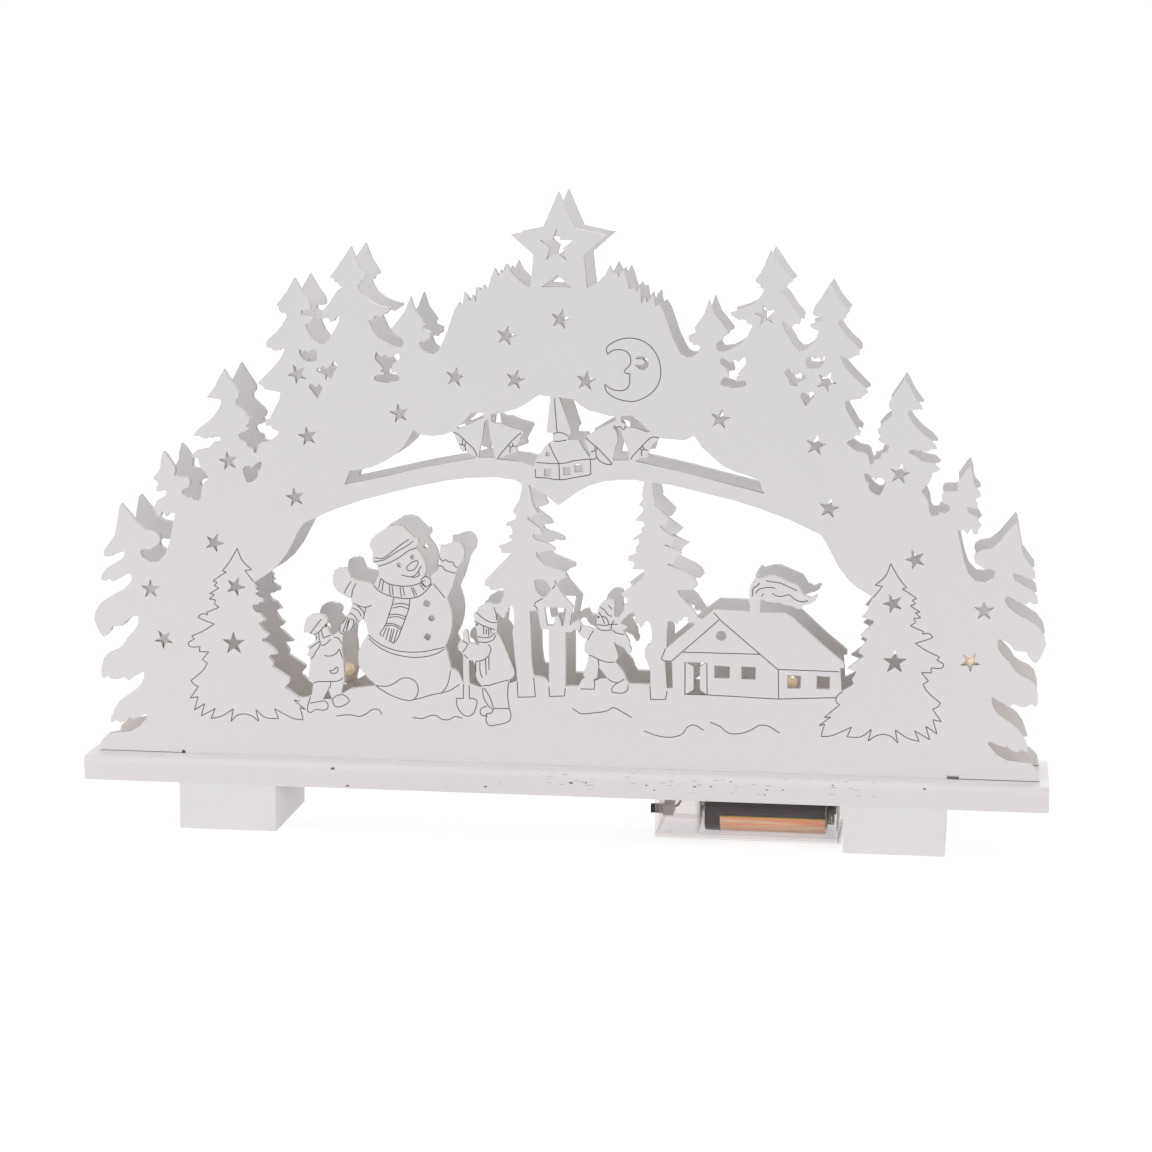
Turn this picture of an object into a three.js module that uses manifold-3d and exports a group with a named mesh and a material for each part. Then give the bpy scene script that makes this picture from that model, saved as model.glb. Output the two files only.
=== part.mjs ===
// A light-up wooden village arch: two identical laser-cut plywood scenes stand in grooves of a base
// board on two block feet, with a copper-wire light chain glued between them and a clear battery box,
// slide switch and sliding lid hung under the board.
// Units are millimetres, +Z is up, X runs along the arch and the viewer stands at -Y.
// The origin is the middle of the footprint, on the surface that the feet stand on.

import * as THREE from "three";
import { mergeVertices } from "three/addons/utils/BufferGeometryUtils.js";
import Module from "manifold-3d";

const wasm = await Module();
wasm.setup();

// Base board and its two feet
const BOARD_LENGTH = 390;
const BOARD_DEPTH = 50;
const BOARD_THICKNESS = 10;
const BOARD_EDGE_ROUND = 3;
const FOOT_HEIGHT = 19;
const FOOT_LENGTH = 40;
const FOOT_INSET = 40;

// Cut panels, and how they sit in the board
const PANEL_THICKNESS = 3;
const PANEL_GAP = 24;
const PANEL_TONGUE_HALF = 155;
const PANEL_TONGUE_DEPTH = 4.8;
const SHOULDER_GAP = 0.3;
const GROOVE_CLEARANCE = 0.15;
const GROOVE_DEPTH = 5;
// Beside the tongue each panel's shoulder is cut away a little, and the groove runs on under that.
const LEFT_RELIEF = 1.5;
const RIGHT_RELIEF = 4.8;
const RELIEF_HEIGHT = 1;
// How far a cut edge may stray from the drawn one; the back panel shows only through the front.
const FRONT_TOLERANCE = 0.25;
const BACK_TOLERANCE = 0.3;

// AA cells and their sleeves
const CELL_DIAMETER = 14.5;
const CELL_LENGTH = 50.5;
const CELL_NUB_LENGTH = 1.2;
const CELL_NUB_RADIUS = 2.7;
const CELL_SPACING = 14.9;
const SLEEVE_THICKNESS = 0.25;
const SLEEVE_CLEARANCE = 0.05;
const SLEEVE_LIP = 0.6;

// Battery box
const CASE_WALL = 1.6;
const CASE_TOP_WALL = 1.2;
const CASE_RIGHT_GAP = 1.1;
const CASE_CENTRE_Y = -1;
const CASE_CORNER_RADIUS = 1.5;
const CELL_ROOM = 5.4;
const CELL_SIDE_ROOM = 0.4;
const CELL_RISE_ROOM = 0.15;
const SWITCH_ROOM = 14.6;
const DIVIDER_THICKNESS = 1;
const LID_THICKNESS = 1.1;
const LID_GROOVE_DEPTH = 0.8;
const LID_CLEARANCE = 0.1;
const LID_LIP = 0.5;
const LID_GRIP_RISE = 0.35;

// Slide switch
const SWITCH_BODY = { length: 4.2, width: 9, height: 4.4 };
const SWITCH_WALL_GAP = 0.3;
const SWITCH_HEIGHT = 9.7;
const KNOB_WIDTH = 2.6;
const KNOB_HEIGHT = 3.3;
const KNOB_REACH = 3.2;
const KNOB_TRAVEL = 3;
const KNOB_CLEARANCE = 0.25;

// Contacts
const CONTACT_THICKNESS = 0.4;
const CONTACT_WIDTH = 9;
const CONTACT_HEIGHT = 10;
const SPRING_WIRE_RADIUS = 0.35;
const SPRING_TURNS = 3;
const SPRING_BASE_RADIUS = 3.6;
const SPRING_TIP_RADIUS = 2.4;
const TOUCH_GAP = 0.3;

// Light chain
const DROP_RADIUS = 2.6;
const DROP_LENGTH = 6;
const WIRE_RADIUS = 0.55;
const WIRE_HOLE_RADIUS = 1.6;
const LEAD_RUN = 2.7;
const LEAD_Y = 4;
const LAMPS = [
  { name: "lamp_far_left", x: -161.9, z: 72.2 },
  { name: "lamp_left", x: -91.5, z: 61 },
  { name: "lamp_right", x: 91.5, z: 61 },
  { name: "lamp_far_right", x: 161.9, z: 72.2 },
];

// Heights and places that follow from the sizes above
const BOARD_BOTTOM = FOOT_HEIGHT;
const BOARD_TOP = BOARD_BOTTOM + BOARD_THICKNESS;
const PANEL_BASE = BOARD_TOP + SHOULDER_GAP;
const PANEL_Y = PANEL_GAP / 2;
const TOP_GROOVE_Y = PANEL_Y + PANEL_THICKNESS / 2;
const FOOT_X = BOARD_LENGTH / 2 - FOOT_INSET - FOOT_LENGTH / 2;
const CASE_TOP = BOARD_BOTTOM;
const CASE_X1 = FOOT_X - FOOT_LENGTH / 2 - CASE_RIGHT_GAP;
const BAY_X1 = CASE_X1 - CASE_WALL;
const BAY_X0 = BAY_X1 - CELL_LENGTH - CELL_ROOM;
const SWITCH_X1 = BAY_X0 - DIVIDER_THICKNESS;
const CASE_X0 = SWITCH_X1 - SWITCH_ROOM - CASE_WALL;
const SWITCH_X0 = CASE_X0 + CASE_WALL + SWITCH_WALL_GAP;
const LEAD_X = SWITCH_X0 + SWITCH_BODY.length + LEAD_RUN;
const BAY_HALF_WIDTH = (CELL_SPACING + CELL_DIAMETER + CELL_SIDE_ROOM) / 2;
const CASE_HALF_WIDTH = BAY_HALF_WIDTH + CASE_WALL;
const BAY_TOP = CASE_TOP - CASE_TOP_WALL;
const LID_TOP = BAY_TOP - CELL_DIAMETER - CELL_RISE_ROOM;
const GROOVE_TOP = LID_TOP + LID_CLEARANCE;
const GROOVE_BOTTOM = LID_TOP - LID_THICKNESS - LID_CLEARANCE;
const CASE_BOTTOM = GROOVE_BOTTOM - LID_LIP;
const CELL_Z = BAY_TOP - (BAY_TOP - LID_TOP) / 2;

// The panel's outline, as its right half from the board up to the star: [x, z].
const EDGE_FOOT = [
  [191.3, PANEL_BASE], [190.6, 33.2], [187.5, 36.2], [183.5, 36.9], [178, 37.4], [174, 39.6],
  [170.8, 43.6], [171.3, 44.8], [174.5, 43.3], [177.2, 42.4], [178.2, 43.3], [179.5, 41.6],
  [182.3, 40.8], [184, 41.9], [185.5, 40.8], [186.5, 41.3],
];
const EDGE_FIR_1 = [
  [186, 43.5], [184.5, 47], [182, 50.5], [178, 53.5], [175, 55.5], [173, 57.5], [171.9, 60],
  [171.8, 62.4], [172.6, 62.4], [174.5, 61], [176.5, 60.3], [178.3, 58.6], [180.3, 60], [183, 59],
  [185.5, 59], [187, 60.2], [189, 59.2], [189.8, 60.5], [189.7, 64], [188.5, 68], [186.5, 70],
  [183, 71.5], [180.5, 73.2], [178.5, 76.5], [175.5, 79.5], [173.7, 82.5], [173.5, 85.2],
  [174.2, 85.8], [176, 85.2], [178.2, 83.8], [180.5, 81.3], [184.8, 81], [185.2, 79.5],
  [187.5, 77], [188.8, 76.6], [189.6, 78], [190.8, 79.8], [191.3, 81.5], [192.3, 84],
  [191.5, 87.5], [189, 91], [184.5, 94], [180.5, 96], [177.5, 98.5], [176, 100.5], [176, 102.3],
  [177, 103.2], [178.5, 102.3], [181, 101.2], [183.5, 99.7], [184.8, 100.2], [185.4, 101],
  [187, 99.8], [188.8, 100.3], [188.8, 101], [188.3, 103], [186, 105.5], [181.5, 108],
  [179.5, 109.5], [178.6, 111.5], [179, 112.3], [181.5, 111.3], [182.5, 111.5], [183.8, 110.3],
  [185, 109.9], [187, 110], [187.5, 110.5], [187.3, 112.5], [185, 115.5], [182.5, 119],
  [181.8, 122], [181, 127], [180.2, 131], [179.5, 131.9], [176, 128], [173, 123.8], [170, 121.3],
  [166, 120.6], [164, 119.3], [163.5, 117.5], [164, 116], [165.3, 115.3], [167, 114.2],
  [168, 113.2], [169.7, 113.6], [171.5, 113], [172, 112.3], [171.3, 110], [168, 108.2],
  [164.5, 108.4], [161.5, 111.5], [159.7, 116.5], [158.3, 123], [157, 128.3],
];
const EDGE_FIR_2 = [
  [157.3, 128.6], [159.5, 128.5], [160.8, 127], [162.2, 129.2], [163.3, 127], [164.9, 127.3],
  [165, 129], [166.2, 130.4], [165, 132], [164.5, 133.5], [162.5, 134.8], [161, 135.5],
  [160.3, 137.3], [161.5, 137.7], [163, 137], [164.6, 137.4], [164.5, 139], [163.8, 140],
  [164, 141.3], [165.7, 142], [165.3, 143.5], [163.8, 145], [162.7, 147], [162.5, 150],
  [161.9, 152.5], [161.4, 153.6], [160, 152.3], [158.3, 149.5], [156.7, 147.3], [156.6, 145.5],
  [157, 144], [156, 143.4], [154, 143.5], [151.5, 143.2], [150.6, 142], [150.6, 140.2],
  [151.3, 139], [152.8, 138.6], [154, 137.4], [153.5, 136], [151.5, 135], [149.8, 135.4],
  [149.3, 134.1], [147, 133.8], [146, 135.3], [145.6, 139], [144.5, 141.3], [142.6, 143.5],
  [143.8, 144.6], [144.3, 146], [145.2, 146], [146, 147.5], [146.7, 149.3], [146.8, 150.8],
  [147.8, 151.2], [149.2, 151.5], [149.6, 152.2], [147.5, 154.3], [144, 155], [142.3, 155.3],
  [141.8, 156.2], [139.5, 157.5], [137.5, 158.7],
];
const EDGE_FIR_3 = [
  [137.5, 159.6], [140, 160], [141, 159.2], [142.5, 159.8], [143.5, 159], [145.2, 159.2],
  [146, 160], [147, 159.8], [148.3, 160], [148.2, 161], [146, 163.5], [142.5, 166],
  [139.5, 169], [137.5, 172], [136.8, 173.8], [137, 174.8], [138.5, 174.8], [140, 175.3],
  [141.3, 175.5], [142.4, 175.3], [142.6, 176], [141, 178], [139.2, 180.5], [137.5, 184],
  [136, 186], [135.6, 187.3], [133.5, 184.5], [131.5, 181.5], [130.4, 179.8], [129.5, 178],
  [129.6, 176], [130.9, 174.6], [130.8, 172.8], [129, 171], [127, 169.5], [125.3, 167.3],
  [125.7, 165.5], [126.8, 164.5], [125.5, 163.5], [127, 162.2], [129, 161.8], [130, 160.6],
  [129, 158.8], [127, 158], [126.4, 156], [125, 155.3], [124, 155.5], [123.7, 153.6],
  [122.7, 153.6], [122.3, 155.3], [121.8, 157], [120.5, 158], [118, 158.3], [115.5, 159.8],
  [113.4, 161.8], [114, 162.8], [115.7, 163.4], [116.3, 164.3], [117.3, 165.2], [118.4, 164.4],
  [118.8, 166.5],
];
const EDGE_FIR_4 = [
  [117, 168], [115, 171.5], [113, 175], [112.4, 178.2], [113.5, 178.2], [116, 178.7],
  [117.5, 179], [118.8, 179.3], [119.5, 180.5], [121.2, 181.3], [121.5, 182], [120, 183.8],
  [117, 186.3], [114, 189.5], [112, 192], [110.5, 195.6], [111.5, 196], [112.5, 195],
  [114.5, 194.8], [116, 195.8], [117.8, 196.3], [117.9, 198], [117, 199.5], [114, 202],
  [111, 205.5], [109.3, 208.5], [110, 210], [111.2, 209.8], [112.5, 210.8], [112.4, 212.3],
  [113.2, 212.8], [113.3, 213.5], [112, 215.3], [109.5, 218], [107.5, 221.5], [106, 224],
  [104.5, 221.5], [102.5, 218], [100.5, 215.5], [99.6, 213], [99.6, 211.6], [101, 210.9],
  [103.4, 211.2], [103.4, 209.3], [100.8, 208.8], [98.6, 208], [98.7, 206.8], [100, 206.2],
  [101.9, 205.4], [101.4, 203.8], [100, 201], [98.3, 199], [96.3, 197.7], [94.5, 197.4],
  [92.5, 199.2],
];
const EDGE_FIR_5 = [
  [91.5, 201], [90.2, 202.8], [88.7, 205.5], [88, 207.5], [87.9, 208.9], [89.3, 208.2],
  [90, 207], [91.5, 206.5], [92.3, 207.8], [93.3, 208.2], [94.5, 207.6], [95, 209.8],
  [94.5, 211.3], [92, 214], [90, 217], [88.5, 219.3], [86.7, 220.4], [87.8, 221],
  [88.5, 222.3], [89.5, 222.3], [90, 223.5], [91.2, 224], [91.5, 224.8], [89.5, 227],
  [87, 230.5], [84.5, 234], [82.9, 236.5], [81.5, 233.5], [80.3, 230], [79, 227.5],
  [77.2, 225.2], [77.3, 224], [79, 223.2], [79.2, 221.9], [80.5, 221.3], [79.8, 219.5],
  [78.3, 217.3], [75.5, 215], [72.5, 213.6], [70, 212.8], [67.6, 212.2], [67.8, 211.2],
  [69.5, 210], [71.2, 209], [72, 209.5], [73.5, 209.3], [74.3, 207.9], [76.2, 207.3],
  [75.6, 205.5], [74.3, 203], [72.3, 200.5], [70, 199], [67, 197.4], [64.5, 196.8],
  [62.9, 196.9], [62.1, 198.3], [62.3, 200], [63.2, 200.9],
];
const EDGE_FIR_6 = [
  [64.5, 201.4], [65.3, 202.8], [66.6, 203.3], [66.8, 204.5], [66, 205.7], [64, 208.3],
  [61.5, 211], [60.5, 213], [60, 214.5], [59.1, 217], [58, 214], [57.3, 211.5],
  [56.3, 209.7], [54.4, 207.5], [53.5, 206], [54.5, 204.5], [52.4, 203.8], [51.2, 203],
  [51.5, 200.5], [53, 200], [53.4, 199], [54.8, 199.5], [55.8, 198.6], [54.8, 196.2],
  [52.7, 194.5], [50.5, 194.2], [48.6, 195.3], [47.2, 197.4],
];
const EDGE_SKY = [
  [45, 202], [43.5, 207], [41.5, 212], [40, 214.6], [39.5, 215], [39.2, 214.3], [38.2, 214.3],
  [37.5, 219], [36, 217.3], [35.5, 215.8], [34.8, 215.8], [34.3, 218], [33.2, 216.5],
  [32.9, 215], [32.2, 220.7], [31.5, 220.8], [31, 219.8], [29.8, 222], [28.8, 220.6],
  [28, 220.7], [27.2, 223], [26.5, 226], [25.3, 228.5], [24.3, 227], [23.8, 225.5],
  [23, 227.8], [22.3, 226.8], [21.7, 227], [21, 229], [20.3, 230], [19.5, 228],
  [18.5, 226.5], [16, 224], [13.5, 222],
];
const EDGE_STAR = [[11.2, 221.2], [9.9, 233.8], [19, 241.7], [6.3, 244.2]];
const STAR_TIP = [0, 258.4];

// The rib below the sky: the V-shaped lower edge that the three windows share, left to right.
const RIB_UNDER_LEFT = [
  [-103.7, 125.6], [-98, 128.5], [-92, 131], [-80, 135.3], [-70, 138.3], [-60, 140.8],
  [-52, 142.5], [-45, 144], [-36, 145.3], [-25, 145.7], [-18, 144.9], [-15, 143.6],
];
const RIB_UNDER_MIDDLE = [
  [-12, 143], [-8, 140.8], [-4, 138], [0, 135], [4, 138], [8, 140.8], [12, 143], [18, 144.9],
  [25, 145.7], [30, 145.8], [34.1, 145.2],
];
const RIB_UNDER_RIGHT = [
  [37.4, 144.8], [45, 144], [52, 142.5], [60, 140.8], [70, 138.3], [80, 135.3], [92, 131],
  [98, 128.5], [103.7, 125.6],
];

// Left window: tree, hat of the child with the shovel, snowman, waving child and the left fir.
const LEFT_WINDOW = [
  ...RIB_UNDER_LEFT,
  [-14.7, 142], [-15.2, 139.5], [-16, 136.5], [-17.5, 134], [-18.6, 132.5], [-18.3, 131.7],
  [-17.3, 131], [-17.2, 129.8], [-18, 128.5], [-20, 127.7], [-21.2, 127.2], [-21.3, 126.2],
  [-19.5, 126.2], [-18.7, 125], [-18.8, 123.3], [-18.3, 122.8], [-20.2, 122], [-20, 121.3],
  [-18.8, 121], [-19.3, 119.8], [-22, 119], [-24.7, 117.7], [-23.5, 117.3], [-23.2, 115.5],
  [-22.7, 115.2], [-19, 115.2], [-19, 114.3], [-20.5, 113], [-23, 111.3], [-26, 108.3],
  [-29, 105.3], [-30, 104], [-29.8, 101.8], [-28.3, 101.5], [-27.5, 100.2], [-25, 100.3],
  [-23, 101], [-21.8, 99.8], [-22.3, 98], [-23.5, 95.3], [-25.3, 94.4], [-27.3, 94.8],
  [-29, 95], [-31, 94], [-32.7, 92.8], [-33.5, 91], [-34.7, 90.4], [-34.5, 88.8],
  [-34.2, 87.2], [-34, 85.3], [-33.4, 84], [-33.3, 82.3], [-33, 80.5], [-32.2, 78],
  [-32.4, 77.5], [-34.2, 77.8], [-36.5, 78.3], [-36.9, 80.5], [-37.2, 83.2], [-38.2, 83.8],
  [-39, 83], [-39, 79.7], [-40.3, 78.8], [-41.1, 77], [-40.8, 75.3], [-39.5, 74.5],
  [-38.9, 73.5], [-38.9, 62], [-39.8, 64], [-40.5, 65.6], [-42.2, 67.1], [-43.9, 67.5],
  [-44.7, 71], [-45.5, 74.5], [-46.4, 76.5], [-44.7, 80], [-43.6, 84], [-43.3, 88],
  [-43.8, 92], [-45.3, 96.4], [-44.5, 98], [-43, 101.5], [-42.3, 104.5], [-41.2, 107],
  [-40.8, 109], [-39.8, 110.5], [-38.3, 112.8], [-38, 115.5], [-38.8, 117.8], [-40.5, 119.2],
  [-42.5, 119.2], [-45, 118], [-46.5, 117.6], [-47.9, 117.8], [-48.2, 116], [-48, 113],
  [-48.2, 110.5], [-49.3, 109.3], [-48.5, 108.8], [-48.8, 107.8], [-50, 106.8], [-51.5, 106],
  [-51.7, 104.3], [-53.3, 105.2], [-54.6, 105], [-53.8, 108], [-54.3, 111], [-55.5, 113.5],
  [-57, 115.5], [-58, 116.8], [-56.8, 118.5], [-57, 120.5], [-58.5, 120.8], [-60.3, 122.3],
  [-63, 125], [-65, 125.6], [-68.3, 125.2], [-71, 123.5], [-74.5, 121.3], [-76.3, 119.5],
  [-76.7, 117], [-75.5, 114], [-75.8, 112], [-75.5, 110], [-74.2, 109.5], [-73.6, 108.8],
  [-73.2, 107.5], [-73, 105.5], [-74, 104], [-75.2, 101], [-77, 101.8], [-80, 102.2],
  [-83, 102.6], [-84.5, 103.5], [-85.2, 105.5], [-86, 107.2], [-87.5, 107.9], [-88.8, 107.2],
  [-89.7, 107.6], [-91.5, 106.5], [-92.2, 103], [-91.8, 100.5], [-90.5, 98.3], [-88.5, 97],
  [-86.5, 95.8], [-84.8, 95.3], [-84.2, 93], [-85.6, 89.6], [-86.8, 88.3], [-88.2, 85],
  [-89.9, 82], [-91.3, 80.5], [-92.8, 79.9], [-93.8, 81], [-94.4, 83.2], [-95.3, 83.8],
  [-94.7, 84.8], [-94.6, 86.5], [-95.8, 87.8], [-97.3, 88.3], [-99.5, 88.5], [-101.5, 88],
  [-103.2, 86.8], [-104, 84.8], [-104.2, 82], [-104.6, 80.6], [-103.3, 80.8], [-101, 80],
  [-99.8, 79.3], [-99.5, 77.9], [-101.3, 76], [-103.3, 74.9], [-102.2, 73.8], [-103.3, 71.5],
  [-102.2, 71], [-101.9, 69], [-102.4, 65], [-102.9, 61], [-100.9, 59.8], [-101, 57.5],
  [-101.5, 55], [-103, 54.2], [-105.5, 53.6], [-107.5, 53.8], [-109.5, 55.2], [-111, 56.7],
  [-112.7, 57.8], [-112, 58.8], [-110.8, 60], [-110.7, 61.5], [-112.5, 62.6], [-115, 64.2],
  [-116.5, 65.2], [-117.8, 66], [-117.3, 67.7], [-118.3, 69.2], [-119.3, 70.5], [-118, 71.2],
  [-115.4, 71.6], [-116.8, 73.3], [-119, 75], [-120, 75.9], [-121.8, 76.8], [-121.8, 77.8],
  [-120.5, 77.8], [-118.8, 79.3], [-120.8, 80.6], [-122.3, 82.8], [-123.3, 84.2], [-122, 84.4],
  [-121.3, 85.3], [-120.2, 85.2], [-121, 86.5], [-122.5, 88.2], [-124.5, 88.9], [-125.6, 90.5],
  [-125.3, 91.8], [-123.2, 91.8], [-122.4, 92.9], [-120.9, 92.8], [-121, 94.4], [-122.3, 94.8],
  [-124.4, 96.2], [-122.8, 97.3], [-124.3, 98.5], [-123.3, 99], [-124.8, 100.8], [-122, 102.6],
  [-118.5, 104.8], [-115, 107.8], [-111, 113], [-108, 118.5], [-105.5, 123.3],
];

// Middle window: between the two trees, above the child who reaches for the lantern.
const MIDDLE_WINDOW = [
  ...RIB_UNDER_MIDDLE,
  [33.6, 142], [33.2, 140], [33.6, 138], [32.8, 136.5], [32, 135.7], [33.3, 135.2],
  [33.8, 133.5], [32.5, 132], [31.2, 130.5], [31, 129.5], [33.3, 129.3], [34.5, 128],
  [33.8, 127], [32.7, 125.3], [34, 125], [32, 123.5], [29.8, 122.2], [29.8, 121.7],
  [32, 122.3], [32.3, 120.5], [30.8, 118.5], [31, 116.8], [30.3, 115.7], [27.8, 114.8],
  [28, 113.3], [30, 113.2], [30.2, 111.5], [29.3, 110], [31.5, 109.8], [34.2, 110],
  [34.3, 108.3], [33.5, 106.5], [30.5, 104.3], [28.8, 102.5], [25.2, 99.9], [26, 98.8],
  [27.8, 98], [27.3, 96.5], [26.2, 95], [26.2, 93.3], [25.2, 91.6], [24.3, 90.6],
  [23.4, 90.3], [22.5, 90.6], [22.2, 92], [22.2, 94], [22.6, 95.8], [22, 97.1],
  [20, 97.5], [18, 96.8], [16.3, 95], [15.6, 93], [15.7, 91.5], [15.3, 88.5],
  [15.6, 86.7], [14.8, 85.7], [13.5, 85.4], [12, 86.2], [10, 86.3], [9, 87],
  [8.3, 88.7], [6.3, 88.2], [5.2, 87], [4.3, 86.6], [4.3, 87.5], [4.9, 91],
  [5.8, 94.2], [4, 96], [2.2, 98.3], [0.7, 100], [-0.7, 102.5], [-1.2, 103.2],
  [-0.8, 104], [0.8, 105.2], [3, 106], [2.5, 107.5], [1, 108], [-1.5, 109],
  [-4, 109.8], [-6, 110.8], [-8, 112.8], [-9.2, 114.5], [-9.2, 116], [-8, 115.6],
  [-6, 116], [-5, 117], [-3, 116.5], [-1.5, 116.7], [-1.8, 118], [-4.5, 119.5],
  [-6.5, 120.2], [-9, 120.8], [-10.3, 121.8], [-10.3, 123.3], [-8, 123], [-6.3, 123.5],
  [-7.5, 125.5], [-9.5, 127], [-11.5, 128.3], [-12.6, 129.2], [-12.5, 130.2], [-10, 130.5],
  [-8.3, 131.6], [-9.8, 134], [-11, 137], [-11.5, 139.5], [-11.9, 141.6],
];

// Right window: tree, house roof with its chimney smoke, and the right fir.
const CHIMNEY_SMOKE = [
  [76.4, 93.9], [76.4, 97], [75.7, 98.4], [76.3, 99.4], [76, 101], [76.3, 104.5], [77.2, 106.2],
  [78.6, 108.2], [80, 107.3], [82, 107.8], [84, 108.6], [86.5, 108.5], [88, 107.8], [90, 106.8],
  [93, 106], [95.5, 104.8], [96.8, 103], [97.6, 101.3], [99.2, 101], [99.5, 100.2], [101, 100.5],
  [102.8, 101.5], [103, 100.6], [102.3, 99.2], [100.5, 98], [98.3, 97.3], [97.5, 97.2],
  [96.8, 96.2], [95.8, 95.7], [94.5, 95.9], [93.2, 97], [90, 97.2], [88, 98.2], [86, 98.2],
  [84.5, 98], [83, 98.6], [81.8, 99], [80.8, 99.3], [80.4, 97.5], [80.4, 93.9],
];
const RIGHT_WINDOW = [
  ...RIB_UNDER_RIGHT.slice().reverse(),
  [37.4, 141], [38, 138.5], [38.5, 137], [38.2, 136], [40.5, 134], [43.8, 130.8],
  [43.3, 129], [42, 127.4], [40.6, 128], [40.9, 126.8], [42.5, 125.3], [46.8, 122.6],
  [45.3, 121], [44, 119.9], [41.8, 120.3], [44.5, 119], [49.3, 116.7], [48, 116],
  [47, 115], [46, 113], [43.2, 112.3], [47, 110.8], [52, 108.3], [54.5, 106.5],
  [55.5, 104], [54, 102.5], [50.5, 102.3], [47.2, 102], [48.5, 99.8], [50.5, 97.5],
  [53, 95.5], [54, 94], [55, 92.3], [56, 90.8], [57.3, 90.4], [62, 94.2],
  ...CHIMNEY_SMOKE,
  [90.5, 93.9], [93, 92.4], [100, 86], [105, 81.5], [110, 77.3], [113.7, 74.4],
  [113.7, 72.5], [112.3, 72.4], [112.6, 68], [113, 63], [114.5, 63.8], [116.5, 65],
  [117.8, 66.3], [117, 68], [118.8, 71], [115.2, 72.4], [118, 74.8], [120, 76.3],
  [121.7, 77.5], [119.2, 79], [120.2, 80.3], [122.9, 84.3], [120, 85.8], [122.6, 88.3],
  [125.2, 90.8], [124.9, 92], [120.6, 93], [123.8, 96.8], [122.8, 97], [124.2, 99.5],
  [124.8, 101.2], [122, 102.7], [118.5, 104.8], [115, 107.8], [111, 113], [108, 118.5],
  [105.5, 123.3],
];

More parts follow.
